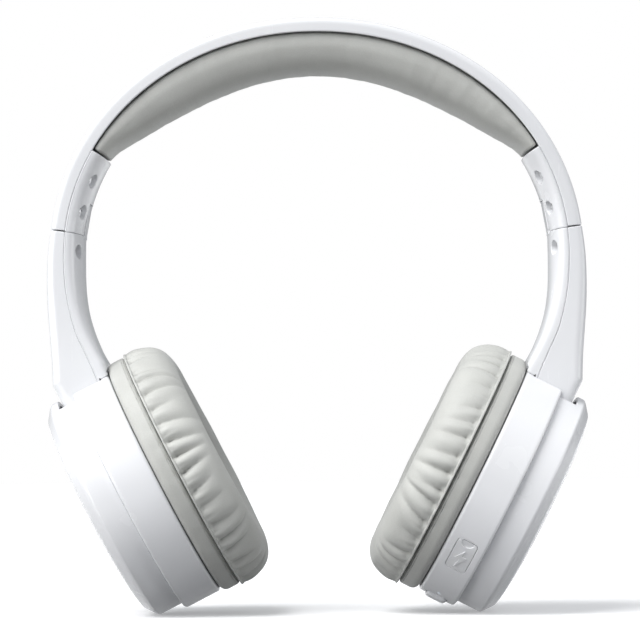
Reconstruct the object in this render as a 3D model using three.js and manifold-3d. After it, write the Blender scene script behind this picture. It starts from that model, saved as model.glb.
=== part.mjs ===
// Over-ear wireless headphones: a padded headband, two arms that slide out of its ends to set the
// size, and two ear cups that tilt on a pin in the foot of each arm.
//
// Millimetres, +Z up. +X is the wearer's right and +Y the way the wearer faces. The origin is on the
// surface that the headphones stand on, under the middle of the headband.
// The two sides mirror each other in X. Everything that belongs to one side is drawn for the right
// side, and the left side is the same drawing in a group with its X scale at -1.
import * as THREE from "three";
import { mergeVertices } from "three/addons/utils/BufferGeometryUtils.js";
import Module from "manifold-3d";

const wasm = await Module();
wasm.setup();

const radians = THREE.MathUtils.degToRad;

// ---------------------------------------------------------------- driving dimensions

const GAP = 0.3; // between neighbouring pieces
const WALL = 1.7; // moulded walls
const ROUND_SIDES = 32; // facets of the round outer pieces
const INNER_SIDES = 16; // facets of the round pieces inside a cup

// The headband's outer surface is a superellipse arch in the XZ plane.
const BAND = { halfSpan: 87.15, rise: 78.3, springZ: 115.3, power: 2.05 };
const BAND_END = radians(7); // where the shell stops, from the horizontal
const COVER_END = radians(28.5); // top of the end covers, where the pad begins
const BAND_TOP_HALF_WIDTH = 17;
const BAND_END_HALF_WIDTH = 14;
const SHELL = { depth: 5.2, crown: 0.6, skin: 1.5, corner: 2.4 };
const COVER = { depth: 11, arch: 2.4, endWall: radians(1.2) };
const PAD_DEPTHS = [4.8, 9.4, 12.1, 12.8, 12.4, 12]; // of the head pad, from its end to the crown
const COVER_SCREW_ANGLES = [radians(12.7), radians(21.5)];

const BLADE = { halfWidth: 6.6, near: 7, far: 8, top: 24 };
const BLADE_FOOT = { halfWidth: 9.5, top: -2.6, bottom: -11 };
const TAB = { halfWidth: 4.6, near: 8.7, height: 10 };
const SCREW = { across: 9.8, recess: 3.1, recessR: 2.3, bossR: 2.8, headR: 1.7, head: 1.1, shankR: 0.8 };
const boreR = SCREW.shankR + GAP;
const ARM = { screwHeight: -6, footHalfWidth: 15, edgeRadius: 2.6, footArch: 6 };

const CUP = { lean: radians(27), centreX: 50.2 };
const HOUSING = { r: 40.5, front: 0.3, back: 13.2 };
const BACK = { r: 38.5, front: 13.5, edge: 21.6 };
const TRIM = { r: 28.4, face: 26.9 };
const SKIRT = { r: 41.6, innerR: 33.2, front: -5.4 };
const CUSHION_BACK = -5.7;
const PIVOT = { u: 10.8, w: 33, neckR: 7.4, pinR: 1.5, pinHalf: 17.9, tilt: radians(7) };
const LUG_THICKNESS = 3;

const FLAP = { u: 6.9, angle: radians(52.2), length: 12, width: 6.4, thickness: 1.1 };
const THUMB = { r: 2.1, depth: 0.6 }; // the notch that lifts the flap
const PORT = { width: 2.8, length: 7.8, wall: 0.5, inner: 32.5, outer: 38 };
const KEY = { u: 6.6, length: 5, width: 7, step: radians(8.2), inner: 38, outer: 41.6 };
const LED = { angle: radians(17), r: 0.6 };
const BOARD = { r: 36, top: 22, front: 5.8, back: 7 };

// The lowest point of a cup, the bottom of the back cover's rim, touches Z = 0.
const CUP_CENTRE_Z = BACK.r * Math.cos(CUP.lean) + BACK.edge * Math.sin(CUP.lean);

function plain(color, roughness, metalness = 0) {
  return new THREE.MeshStandardMaterial({ color, roughness, metalness });
}
const WHITE = plain(0xf2f2f4, 0.25);
const LEATHER = plain(0xb4b6b0, 0.6);
const CLOTH = plain(0x6a6c6c, 0.9);
const DARK = plain(0x2c2c2e, 0.6);
const STEEL = plain(0xa8aaad, 0.35, 1);
const GREEN = plain(0x1f5a3c, 0.5);
const CLEAR = plain(0xe6eef2, 0.15);

// ---------------------------------------------------------------- solids and geometries

// A closed three.js geometry as a manifold solid with its faces pointing out.
function toSolid(geometry) {
  const flat = geometry.index ? geometry.toNonIndexed() : geometry;
  const bare = new THREE.BufferGeometry().setAttribute("position", flat.getAttribute("position"));
  const merged = mergeVertices(bare, 1e-4);
  const corners = [];
  const index = merged.index.array;
  for (let i = 0; i < index.length; i += 3) {
    const [a, b, c] = [index[i], index[i + 1], index[i + 2]];
    if (a !== b && b !== c && c !== a) {
      corners.push(a, b, c);
    }
  }
  const build = (triangles) =>
    new wasm.Manifold(
      new wasm.Mesh({
        numProp: 3,
        vertProperties: merged.getAttribute("position").array,
        triVerts: new Uint32Array(triangles),
      }),
    );
  const solid = build(corners);
  return solid.volume() < 0 ? build(corners.reverse()) : solid;
}

function toGeometry(solid) {
  const mesh = solid.getMesh();
  const positions = new Float32Array(mesh.numVert * 3);
  for (let i = 0; i < mesh.numVert; i++) {
    const start = i * mesh.numProp;
    positions.set(mesh.vertProperties.subarray(start, start + 3), i * 3);
  }
  const geometry = new THREE.BufferGeometry();
  geometry.setAttribute("position", new THREE.BufferAttribute(positions, 3));
  geometry.setIndex(new THREE.BufferAttribute(mesh.triVerts, 1));
  geometry.computeVertexNormals();
  return geometry;
}

// Each takes three.js geometries or solids, and gives a solid.
const asSolid = (shape) => (shape.isBufferGeometry ? toSolid(shape) : shape);
const join = (...shapes) => shapes.map(asSolid).reduce((a, b) => a.add(b));
const cut = (base, ...tools) => tools.map(asSolid).reduce((a, b) => a.subtract(b), asSolid(base));
const meet = (a, b) => asSolid(a).intersect(asSolid(b));

// The parent's new mesh of that name. It holds one closed body.
function piece(parent, name, shape, material) {
  const mesh = new THREE.Mesh(toGeometry(asSolid(shape)), material.clone());
  mesh.name = name;
  parent.add(mesh);
  return mesh;
}

function box([x0, x1], [y0, y1], [z0, z1]) {
  const geometry = new THREE.BoxGeometry(x1 - x0, y1 - y0, z1 - z0);
  return geometry.translate((x0 + x1) / 2, (y0 + y1) / 2, (z0 + z1) / 2);
}

// A cylinder whose axis runs from one point to another.
function rod(from, to, radius, sides = 8) {
  const axis = new THREE.Vector3().subVectors(to, from);
  const geometry = new THREE.CylinderGeometry(radius, radius, axis.length(), sides);
  const turn = new THREE.Quaternion().setFromUnitVectors(
    new THREE.Vector3(0, 1, 0),
    axis.clone().normalize(),
  );
  const middle = new THREE.Vector3().addVectors(from, to).multiplyScalar(0.5);
  return geometry.applyQuaternion(turn).translate(middle.x, middle.y, middle.z);
}

// A body turned about the local X axis. The profile lists [along the axis, radius], and it either
// runs round a ring's section or goes from the axis back to the axis.
function turned(profile, sides = ROUND_SIDES) {
  const points = profile.map(([u, r]) => new THREE.Vector2(r, u));
  const line = profile[0][1] === 0 ? points : [...points, points[0]];
  return new THREE.LatheGeometry(line, sides).rotateZ(-Math.PI / 2);
}

// Points from one end of an arch over its crown to the other, as [height, across]. A power of 2 is
// an ellipse, and higher powers are squarer.
function arch(foot, crown, half, power) {
  const steps = 8;
  const points = [];
  for (let i = 0; i <= steps; i++) {
    const turn = (Math.PI * i) / steps;
    const cosine = Math.cos(turn);
    const y = Math.sign(cosine) * Math.abs(cosine) ** (2 / power);
    points.push([foot + (crown - foot) * Math.max(0, Math.sin(turn)) ** (2 / power), half * y]);
  }
  return points;
}

const outline = (points) => new THREE.Shape(points.map(([x, z]) => new THREE.Vector2(x, z)));
const flat = (v) => [v.x, v.z]; // a point of the XZ plane as an outline's point

// An outline in the XZ plane, pushed out to both sides of it. Its half width is a function of
// height, and a bevel rounds its long edges.
function slab(shape, halfWidthAt, bevel = 0) {
  const typical = halfWidthAt(100);
  const depth = 2 - (2 * bevel) / typical;
  const geometry = new THREE.ExtrudeGeometry(shape, {
    depth,
    curveSegments: 5,
    bevelEnabled: bevel > 0,
    bevelThickness: bevel / typical,
    bevelSize: bevel,
    bevelOffset: -bevel,
    bevelSegments: 2,
  });
  const position = geometry.getAttribute("position");
  for (let i = 0; i < position.count; i++) {
    const across = position.getZ(i) - depth / 2;
    const z = position.getY(i);
    position.setXYZ(i, position.getX(i), -across * halfWidthAt(z), z);
  }
  return geometry;
}

// An outline in the YZ plane, pushed along X.
function plate(shape, fromX, toX) {
  const options = { depth: toX - fromX, bevelEnabled: false, curveSegments: 10 };
  return new THREE.ExtrudeGeometry(shape, options)
    .rotateZ(Math.PI / 2)
    .rotateY(Math.PI / 2)
    .translate(fromX, 0, 0);
}

// ---------------------------------------------------------------- the headband's curve

// The outer surface at an angle from the horizontal, and its outward normal, in the XZ plane.
function bandAt(angle) {
  const cosine = Math.cos(angle);
  const x = Math.sign(cosine) * Math.abs(cosine) ** (2 / BAND.power);
  const z = Math.sin(angle) ** (2 / BAND.power);
  const normal = new THREE.Vector2(
    (Math.sign(x) * Math.abs(x) ** (BAND.power - 1)) / BAND.halfSpan,
    z ** (BAND.power - 1) / BAND.rise,
  ).normalize();
  return { point: new THREE.Vector2(x * BAND.halfSpan, BAND.springZ + z * BAND.rise), normal };
}

// A point at a depth below the outer surface.
function bandPoint(angle, depth, y = 0) {
  const { point, normal } = bandAt(angle);
  return new THREE.Vector3(point.x - normal.x * depth, y, point.y - normal.y * depth);
}

const bandHalfWidth = (angle) =>
  THREE.MathUtils.lerp(BAND_END_HALF_WIDTH, BAND_TOP_HALF_WIDTH, Math.sin(angle) ** 2);

// A straight bar of the given section, bent along the headband. The section's x is its depth below
// the outer surface. Its y is drawn for the band's end, and widens with the band.
function bent(section, from, to, steps, depthAt = (depth) => depth) {
  const options = { depth: 1, steps, bevelEnabled: false, curveSegments: 2 };
  const geometry = new THREE.ExtrudeGeometry(section, options);
  const position = geometry.getAttribute("position");
  for (let i = 0; i < position.count; i++) {
    const angle = THREE.MathUtils.lerp(from, to, position.getZ(i));
    const y = (position.getY(i) * bandHalfWidth(angle)) / BAND_END_HALF_WIDTH;
    const p = bandPoint(angle, depthAt(position.getX(i), angle), y);
    position.setXYZ(i, p.x, p.y, p.z);
  }
  return geometry;
}

// A post along the band's normal.
const bandPost = (angle, y, fromDepth, toDepth, radius, sides) =>
  rod(bandPoint(angle, fromDepth, y), bandPoint(angle, toDepth, y), radius, sides);

// ---------------------------------------------------------------- the frames of one side

// The slide frame stands at the end of the band: X out along its normal, Z up along the slide.
const bandEnd = bandAt(BAND_END);
const slideFrame = new THREE.Matrix4()
  .makeRotationY(-Math.atan2(bandEnd.normal.y, bandEnd.normal.x))
  .setPosition(bandEnd.point.x, 0, bandEnd.point.y);
const fromSlide = (depth, height, y = 0) =>
  new THREE.Vector3(-depth, y, height).applyMatrix4(slideFrame);
const slidePost = (height, y, fromDepth, toDepth, radius, sides) =>
  rod(fromSlide(fromDepth, height, y), fromSlide(toDepth, height, y), radius, sides);

// The cup frame stands at the middle of the joint between cushion and housing: X out along the
// cup's axis (u), Z towards the top of the cup (w).
const cupFrame = new THREE.Matrix4()
  .makeRotationY(CUP.lean)
  .setPosition(CUP.centreX, 0, CUP_CENTRE_Z);
const fromCup = (u, w, y = 0) => new THREE.Vector3(u, y, w).applyMatrix4(cupFrame);

// The opening for the slider's blade, as a box of the slide frame.
const bladeSlot = (bottom, top) =>
  box(
    [-BLADE.far - GAP, -BLADE.near + GAP],
    [-BLADE.halfWidth - GAP, BLADE.halfWidth + GAP],
    [bottom, top],
  ).applyMatrix4(slideFrame);

// ---------------------------------------------------------------- headband

function addHeadband(parent) {
  const edge = BAND_END_HALF_WIDTH;
  const { depth, crown, skin, corner } = SHELL;
  const channel = new THREE.Shape()
    .moveTo(depth, edge)
    .lineTo(crown + corner, edge)
    .quadraticCurveTo(crown, edge, crown, edge - corner)
    .quadraticCurveTo(-crown / 2, 0, crown, corner - edge)
    .quadraticCurveTo(crown, -edge, crown + corner, -edge)
    .lineTo(depth, -edge)
    .lineTo(depth, WALL - edge)
    .lineTo(crown + skin, WALL - edge)
    .lineTo(crown + skin, edge - WALL)
    .lineTo(depth, edge - WALL);
  const angles = COVER_SCREW_ANGLES.flatMap((angle) => [angle, Math.PI - angle]);
  const places = angles.flatMap((angle) => [-1, 1].map((s) => [angle, s * SCREW.across]));
  const posts = places.map(([angle, y]) => bandPost(angle, y, skin, depth - 0.2, 1.9));
  const bores = places.map(([angle, y]) => bandPost(angle, y, skin + 0.7, depth + 1, boreR));
  const shell = bent(channel, BAND_END, Math.PI - BAND_END, 26);
  piece(parent, "headband_shell", cut(join(shell, ...posts), ...bores), WHITE);

  const clear = radians(1.8);
  const underPad = [COVER_END + clear, Math.PI - COVER_END - clear];
  const strip = (near, far, halfWidth) =>
    outline([
      [near, -halfWidth],
      [far, -halfWidth],
      [far, halfWidth],
      [near, halfWidth],
    ]);
  piece(parent, "headband_spring", bent(strip(2.5, 3.1, 5), ...underPad, 12), STEEL);
  const cable = new THREE.Shape().absarc(2.95, 8.3, 0.5, 0, 2 * Math.PI);
  piece(parent, "headband_cable", bent(cable, ...underPad, 12), DARK);
  const base = strip(3.8, 4.9, edge - WALL - GAP);
  piece(parent, "headband_pad_base", bent(base, ...underPad, 12), DARK);
  piece(parent, "headband_pad", headPad(), LEATHER);
}

// The pad's section is one unit deep, and its depth follows PAD_DEPTHS along the arch.
function headPad() {
  const section = new THREE.Shape()
    .moveTo(0, 12)
    .quadraticCurveTo(0.1, 13.4, 0.45, 12.9)
    .quadraticCurveTo(0.9, 11, 1, 0)
    .quadraticCurveTo(0.9, -11, 0.45, -12.9)
    .quadraticCurveTo(0.1, -13.4, 0, -12);
  const last = PAD_DEPTHS.length - 1;
  const curve = new THREE.SplineCurve(PAD_DEPTHS.map((d, i) => new THREE.Vector2(i / last, d)));
  const depthAt = (share, angle) => {
    const fromCover = Math.min(angle, Math.PI - angle) - COVER_END;
    const along = fromCover / (Math.PI / 2 - COVER_END);
    return SHELL.depth + GAP + share * curve.getPoint(Math.min(1, along)).y;
  };
  const clear = radians(0.6);
  return bent(section, COVER_END + clear, Math.PI - COVER_END - clear, 20, depthAt);
}

// The hollow cover that closes the inner side of the band's end, with the slider's slot and window.
function addEndCover(parent, side) {
  const edge = BAND_END_HALF_WIDTH;
  const near = SHELL.depth + GAP;
  const { depth, endWall } = COVER;
  const full = outline(arch(near, depth, edge, COVER.arch));
  const hollow = arch(near, depth - WALL, edge - WALL, COVER.arch).reverse();
  const trough = outline([...arch(near, depth, edge, COVER.arch), ...hollow]);
  const walls = [
    bent(trough, BAND_END, COVER_END, 6),
    bent(full, BAND_END, BAND_END + endWall, 1),
    bent(full, COVER_END - endWall, COVER_END, 1),
  ];
  const places = COVER_SCREW_ANGLES.flatMap((angle) => [-1, 1].map((s) => [angle, s * SCREW.across]));
  const seat = depth - SCREW.recess;
  const bosses = places.map(([angle, y]) => bandPost(angle, y, near, depth, SCREW.bossR, 6));
  const recesses = places.map(([angle, y]) => bandPost(angle, y, seat, depth + 2, SCREW.recessR, 10));
  const bores = places.map(([angle, y]) => bandPost(angle, y, near - 1, depth, boreR));
  const window = box(
    [-COVER.depth - 4, -TAB.near + GAP],
    [-TAB.halfWidth - GAP, TAB.halfWidth + GAP],
    [-2, TAB.height + GAP],
  ).applyMatrix4(slideFrame);
  // the bosses stay inside the cover and clear of the blade
  const body = meet(join(...walls, ...bosses), bent(full, BAND_END, COVER_END, 6));
  const slot = bladeSlot(-2, BLADE.top + GAP);
  piece(parent, `end_cover_${side}`, cut(body, ...recesses, ...bores, slot, window), WHITE);

  places.forEach(([angle, y], i) => {
    const under = seat + 0.1;
    const head = bandPost(angle, y, under, under + SCREW.head, SCREW.headR);
    const shank = bandPost(angle, y, SHELL.skin + 1, under + 0.2, SCREW.shankR, 8);
    piece(parent, `end_cover_screw_${side}_${i + 1}`, join(head, shank), STEEL);
  });

  // a leaf spring between the cover's floor and the blade, bowed towards the blade's notches
  const leaf = outline([
    [-10, 11.4],
    [-8.8, 14.6],
    [-8.8, 17],
    [-12.2, 20.6],
    [-11.8, 20.6],
    [-8.4, 17.2],
    [-8.4, 14.4],
    [-9.6, 11.4],
  ]);
  const clip = slab(leaf, () => 3.5).applyMatrix4(slideFrame);
  piece(parent, `detent_clip_${side}`, clip, STEEL);
}

// ---------------------------------------------------------------- slider and arm

// The blade runs in the band's end, notched for the detent, and its foot is held by the arm's screws.
function addSlider(parent, side) {
  const { halfWidth, near, far, top } = BLADE;
  const notches = 6;
  const pitch = 3;
  const edge = [];
  for (let i = 0; i < notches; i++) {
    const z = 6 + i * pitch;
    edge.push([halfWidth, z], [halfWidth - 0.7, z + pitch / 4], [halfWidth, z + pitch / 2]);
  }
  const shoulder = [
    [BLADE_FOOT.halfWidth, BLADE_FOOT.bottom],
    [BLADE_FOOT.halfWidth, BLADE_FOOT.top],
    [halfWidth, BLADE_FOOT.top],
  ];
  const rightEdge = [...shoulder, ...edge, [halfWidth, top - 1.5], [halfWidth - 1.5, top]];
  const leftEdge = rightEdge.map(([y, z]) => [-y, z]).reverse();
  const blade = plate(outline([...rightEdge, ...leftEdge]), -far, -near).applyMatrix4(slideFrame);
  const notchesForScrews = [-1, 1].map((s) =>
    slidePost(ARM.screwHeight, s * SCREW.across, near - 1, far + 1, SCREW.bossR + GAP, 12),
  );
  piece(parent, `slider_${side}`, cut(blade, ...notchesForScrews), WHITE);
}

const FOOT_OUTER = PIVOT.u + PIVOT.neckR;
const FOOT_INNER = -0.9;
const FOOT_BOTTOM = 34.5;
const NECK_FREE = 3.2; // the neck enters the cup beyond this u

// Sections of the arm from its top to its foot: the outer and the inner edge seen from the front,
// and how far between them the seam of its two mouldings lies.
const ARM_SECTIONS = [
  { outer: flat(fromSlide(0, -0.4)), inner: flat(fromSlide(COVER.depth, -0.4)), seam: 0.48 },
  { outer: [87.6, 116.5], inner: [75.8, 115.2], seam: 0.49 },
  { outer: [87.9, 107.5], inner: [75.7, 106.5], seam: 0.54 },
  { outer: [87.7, 99.5], inner: [74.9, 99.2], seam: 0.6 },
  { outer: [87.1, 91.5], inner: [73.2, 92.6], seam: 0.64 },
  { outer: [86.4, 82.5], inner: [70.8, 86.4], seam: 0.727 },
  { outer: flat(fromCup(FOOT_OUTER, 43.3)), inner: flat(fromCup(FOOT_INNER, 42.5)), seam: 0.761 },
];
const outerEdge = new THREE.SplineCurve(ARM_SECTIONS.map((s) => new THREE.Vector2(...s.outer)));
const innerEdge = new THREE.SplineCurve(ARM_SECTIONS.map((s) => new THREE.Vector2(...s.inner)));
const seamAt = (share) => {
  const place = share * (ARM_SECTIONS.length - 1);
  const i = Math.min(Math.floor(place), ARM_SECTIONS.length - 2);
  return THREE.MathUtils.lerp(ARM_SECTIONS[i].seam, ARM_SECTIONS[i + 1].seam, place - i);
};

// The arm's section at a share of its length, drawn that much smaller all round.
function armSection(share, inset) {
  return sectionRing({
    outer: outerEdge.getPoint(share),
    inner: innerEdge.getPoint(share),
    seam: seamAt(share),
    halfWidth: THREE.MathUtils.lerp(BAND_END_HALF_WIDTH, ARM.footHalfWidth, share),
    power: THREE.MathUtils.lerp(COVER.arch, ARM.footArch, share ** 2),
    inset,
  });
}

// A closed ring of points: flat with rounded corners on the outer side, arched on the inner side.
function sectionRing({ outer, inner, seam, halfWidth, power, inset }) {
  const length = outer.distanceTo(inner);
  const across = new THREE.Vector2().subVectors(inner, outer).normalize();
  const half = halfWidth - inset;
  const radius = ARM.edgeRadius - inset / 2;
  const near = SHELL.crown + inset;
  const corner = [0, 1, 2].map((i) => {
    const turn = (Math.PI / 4) * i;
    return [near + radius * (1 - Math.cos(turn)), half - radius * (1 - Math.sin(turn))];
  });
  const mirrored = corner.map(([d, y]) => [d, -y]).reverse();
  const side = arch(length * seam, length - inset, half, power);
  const points = [[inset, 0], ...corner, ...side, ...mirrored];
  return points.map(
    ([d, y]) => new THREE.Vector3(outer.x + across.x * d, y, outer.y + across.y * d),
  );
}

// A closed body through rings of equally many points, closed at both ends.
function loft(rings) {
  const size = rings[0].length;
  const middle = (ring) =>
    ring.reduce((sum, p) => sum.add(p), new THREE.Vector3()).divideScalar(ring.length);
  const points = [...rings.flat(), middle(rings[0]), middle(rings.at(-1))];
  const triangles = [];
  const top = points.length - 2;
  const lastRing = (rings.length - 1) * size;
  for (let i = 0; i < size; i++) {
    const next = (i + 1) % size;
    for (let r = 0; r < lastRing; r += size) {
      triangles.push(r + i, r + next, r + size + i, r + next, r + size + next, r + size + i);
    }
    triangles.push(top, next, i, top + 1, lastRing + i, lastRing + next);
  }
  return new THREE.BufferGeometry().setFromPoints(points).setIndex(triangles);
}

function armBody() {
  const steps = 8;
  const rings = [];
  for (let i = 0; i <= steps; i++) {
    rings.push(armSection(i / steps, 0));
  }
  const foot = {
    outer: new THREE.Vector2(...flat(fromCup(FOOT_OUTER, FOOT_BOTTOM))),
    inner: new THREE.Vector2(...flat(fromCup(FOOT_INNER, FOOT_BOTTOM))),
    halfWidth: ARM.footHalfWidth,
    power: ARM.footArch,
  };
  rings.push(sectionRing({ ...foot, seam: 0.72, inset: 0 }));
  // over the joint of cushion and housing the foot follows the round of the cup
  const cupRound = turned([
    [-4, 0],
    [-4, SKIRT.r + GAP],
    [0.15, SKIRT.r + GAP],
    [0.15, HOUSING.r + GAP],
    [NECK_FREE, HOUSING.r + GAP],
    [NECK_FREE, 0],
  ]).applyMatrix4(cupFrame);
  const neckAxis = (y) => fromCup(PIVOT.u, PIVOT.w, y);
  const neck = rod(neckAxis(-ARM.footHalfWidth), neckAxis(ARM.footHalfWidth), PIVOT.neckR, 20);
  return join(cut(loft(rings), cupRound), neck);
}

function armHollow() {
  const steps = 5;
  const rings = [];
  for (let i = 0; i <= steps; i++) {
    rings.push(armSection(THREE.MathUtils.lerp(0.045, 0.96, i / steps), WALL));
  }
  return loft(rings);
}

// Everything on the inner side of the arm's seam, moved out by a distance.
function armInnerSide(shift) {
  const seam = ARM_SECTIONS.map((s) =>
    new THREE.Vector2(...s.outer).lerp(new THREE.Vector2(...s.inner), s.seam).toArray(),
  );
  const shape = outline([
    [seam[0][0] + shift, 130],
    ...seam.map(([x, z]) => [x + shift, z]),
    flat(fromCup(4.4 + shift, 38.5)),
    flat(fromCup(4.4 + shift, 36.9 - shift)),
    flat(fromCup(-8, 36.9 - shift)),
    [50, 90],
    [60, 130],
  ]);
  return slab(shape, () => 30);
}

function addArm(parent, side) {
  const pinAxis = (y) => fromCup(PIVOT.u, PIVOT.w, y);
  const pinBore = rod(pinAxis(-25), pinAxis(25), PIVOT.pinR + GAP, 12);
  const whole = cut(armBody(), armHollow(), bladeSlot(-5, 1), pinBore);

  const { screwHeight } = ARM;
  const across = [-SCREW.across, SCREW.across];
  const seat = COVER.depth - SCREW.recess;
  const posts = across.map((y) => slidePost(screwHeight, y, 1, SHELL.depth - 0.2, 2));
  const bores = across.map((y) => slidePost(screwHeight, y, SHELL.skin + 0.7, seat + 1, boreR));
  const shell = join(cut(whole, armInnerSide(GAP)), ...posts);
  piece(parent, `arm_shell_${side}`, cut(shell, ...bores), WHITE);

  const bosses = across.map((y) => slidePost(screwHeight, y, SHELL.depth, COVER.depth, SCREW.bossR, 6));
  const recesses = across.map((y) =>
    slidePost(screwHeight, y, seat, COVER.depth + 2, SCREW.recessR, 10),
  );
  const tab = slab(
    outline([
      [-COVER.depth + 0.1, -2],
      [-TAB.near, -2],
      [-TAB.near, TAB.height],
      [-COVER.depth - 0.5, TAB.height],
    ]),
    () => TAB.halfWidth,
  ).applyMatrix4(slideFrame);
  const outside = loft([armSection(0, 0), armSection(0.2, 0)]);
  const cover = join(meet(join(whole, meet(join(...bosses), outside)), armInnerSide(0)), tab);
  piece(parent, `arm_cover_${side}`, cut(cover, ...recesses, ...bores), WHITE);

  across.forEach((y, i) => {
    const under = seat + 0.1;
    const head = slidePost(screwHeight, y, under, under + SCREW.head, SCREW.headR);
    const shank = slidePost(screwHeight, y, SHELL.skin + 1, under + 0.2, SCREW.shankR, 8);
    piece(parent, `arm_screw_${side}_${i + 1}`, join(head, shank), STEEL);
  });
  const pin = rod(pinAxis(-PIVOT.pinHalf), pinAxis(PIVOT.pinHalf), PIVOT.pinR, 12);
  piece(parent, `tilt_pin_${side}`, pin, STEEL);
}

// ---------------------------------------------------------------- ear cup

// A place on the cup's rim. X stays the cup's axis, Z points outwards and Y along the rim. The
// angle runs from the bottom of the cup round by the side away from the wearer's face.
const onRim = (angle) => new THREE.Matrix4().makeRotationX(Math.PI - angle);
const rimBox = (angle, ...sizes) => box(...sizes).applyMatrix4(onRim(angle));
const ring = (u0, u1, innerR, outerR, sides) =>
  turned(
    [
      [u0, innerR],
      [u0, outerR],
      [u1, outerR],
      [u1, innerR],
    ],
    sides,
  );

function roundedBar(length, width, radius, from, to) {
  const [x, y] = [width / 2 - radius, length / 2 - radius];
  const shape = new THREE.Shape()
    .absarc(x, y, radius, 0, Math.PI / 2)
    .absarc(-x, y, radius, Math.PI / 2, Math.PI)
    .absarc(-x, -y, radius, Math.PI, 1.5 * Math.PI)
    .absarc(x, -y, radius, 1.5 * Math.PI, 2 * Math.PI);
  const options = { depth: to - from, bevelEnabled: false, curveSegments: 2 };
  return new THREE.ExtrudeGeometry(shape, options).translate(0, 0, from);
}

const keyAngle = (i) => (i - 1) * KEY.step;
const keyBar = (i, grow, from, to) =>
  roundedBar(KEY.length + 2 * grow, KEY.width + 2 * grow, 1.6, from, to)
    .translate(KEY.u, 0, 0)
    .applyMatrix4(onRim(keyAngle(i)));

// The ring that carries everything: its pocket takes the arm's foot, between two lugs for the pin.
function housing(withControls) {
  const { r, front, back } = HOUSING;
  const innerR = r - WALL;
  const flangeR = r - 3.9;
  const shell = turned([
    [front, SKIRT.innerR],
    [front, r - 0.5],
    [front + 0.5, r],
    [back - 0.9, r],
    [back - 0.2, r - 0.4],
    [back, r - 1],
    [back, flangeR],
    [back - WALL, flangeR],
    [back - WALL, innerR],
    [front + WALL, innerR],
    [front + WALL, SKIRT.innerR],
  ]);
  const pocketHalf = ARM.footHalfWidth + GAP;
  const pocket = box([NECK_FREE - GAP, 30], [-pocketHalf, pocketHalf], [20, 60]);
  const lugs = [-1, 1].map((s) => {
    const sides = [s * pocketHalf, s * (pocketHalf + LUG_THICKNESS)].sort((a, b) => a - b);
    return meet(box([front + 2, back - 0.5], sides, [27, r]), ring(front, back, 20, r - 0.6));
  });
  const holeHalf = pocketHalf + LUG_THICKNESS + 0.5;
  const pinHole = rod(
    new THREE.Vector3(PIVOT.u, -holeHalf, PIVOT.w),
    new THREE.Vector3(PIVOT.u, holeHalf, PIVOT.w),
    PIVOT.pinR + GAP,
    12,
  );
  const bare = cut(join(cut(shell, pocket), ...lugs), pinHole);
  return withControls ? addWindows(bare) : bare;
}

// The port's recess, the openings of the keys and the hole of the lamp.
function addWindows(shell) {
  const { u, angle, length, width, thickness } = FLAP;
  const [across, along] = [width / 2, length / 2];
  const floorR = HOUSING.r - thickness - 0.4;
  const pad = meet(
    rimBox(angle, [u - across - 1, HOUSING.back - 0.5], [-along - 1.5, along + 1.5], [30, 45]),
    ring(u - across - 2, HOUSING.back, HOUSING.r - 2.2, HOUSING.r - 0.8),
  );
  const recess = meet(
    rimBox(angle, [u - across - GAP, u + across + GAP], [-along - GAP, along + GAP], [30, 45]),
    ring(0, HOUSING.back, floorR, HOUSING.r + 3),
  );
  const portHole = portBox(GAP, PORT.inner, HOUSING.r);
  const keys = [0, 1, 2].map((i) => keyBar(i, GAP, KEY.inner - 1, KEY.outer + 1));
  const lampHole = lampRod(LED.r + GAP, 36, 42);
  return cut(join(shell, pad), recess, portHole, thumbNotch(), ...keys, lampHole);
}

// The port's outline grown all round, between two distances from the cup's axis.
function portBox(grow, from, to) {
  const [across, along] = [PORT.width / 2 + grow, PORT.length / 2 + grow];
  return rimBox(FLAP.angle, [FLAP.u - across, FLAP.u + across], [-along, along], [from, to]);
}

// Over the upper end of the flap, half in it and half in the housing.
function thumbNotch() {
  const place = onRim(FLAP.angle);
  const at = (r) => new THREE.Vector3(FLAP.u, FLAP.length / 2, r).applyMatrix4(place);
  return rod(at(HOUSING.r - THUMB.depth), at(HOUSING.r + 2), THUMB.r, 12);
}

function lampRod(radius, from, to) {
  const place = onRim(LED.angle);
  const at = (r) => new THREE.Vector3(KEY.u, 0, r).applyMatrix4(place);
  return rod(at(from), at(to), radius);
}

function backCover() {
  const { r, front, edge } = BACK;
  const seatR = TRIM.r + 0.35;
  const shell = turned([
    [TRIM.face - 2.8, 0],
    [TRIM.face - 2.8, seatR],
    [25.7, seatR],
    [25.4, 31.5],
    [24.8, 34.6],
    [edge + 1, r - 1],
    [edge, r],
    [front + 0.6, r],
    [front, r - 0.6],
    [front, r - WALL],
    [edge - 0.6, r - WALL],
    [22.9, 33.6],
    [22.9, 0],
  ]);
  const half = ARM.footHalfWidth + GAP;
  // as far beyond the arm's foot as the foot moves when the cup tilts
  const reach = FOOT_OUTER + GAP + (r - PIVOT.w) * Math.sin(PIVOT.tilt);
  return cut(shell, box([front - 1, reach], [-half, half], [20, 60]));
}

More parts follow.
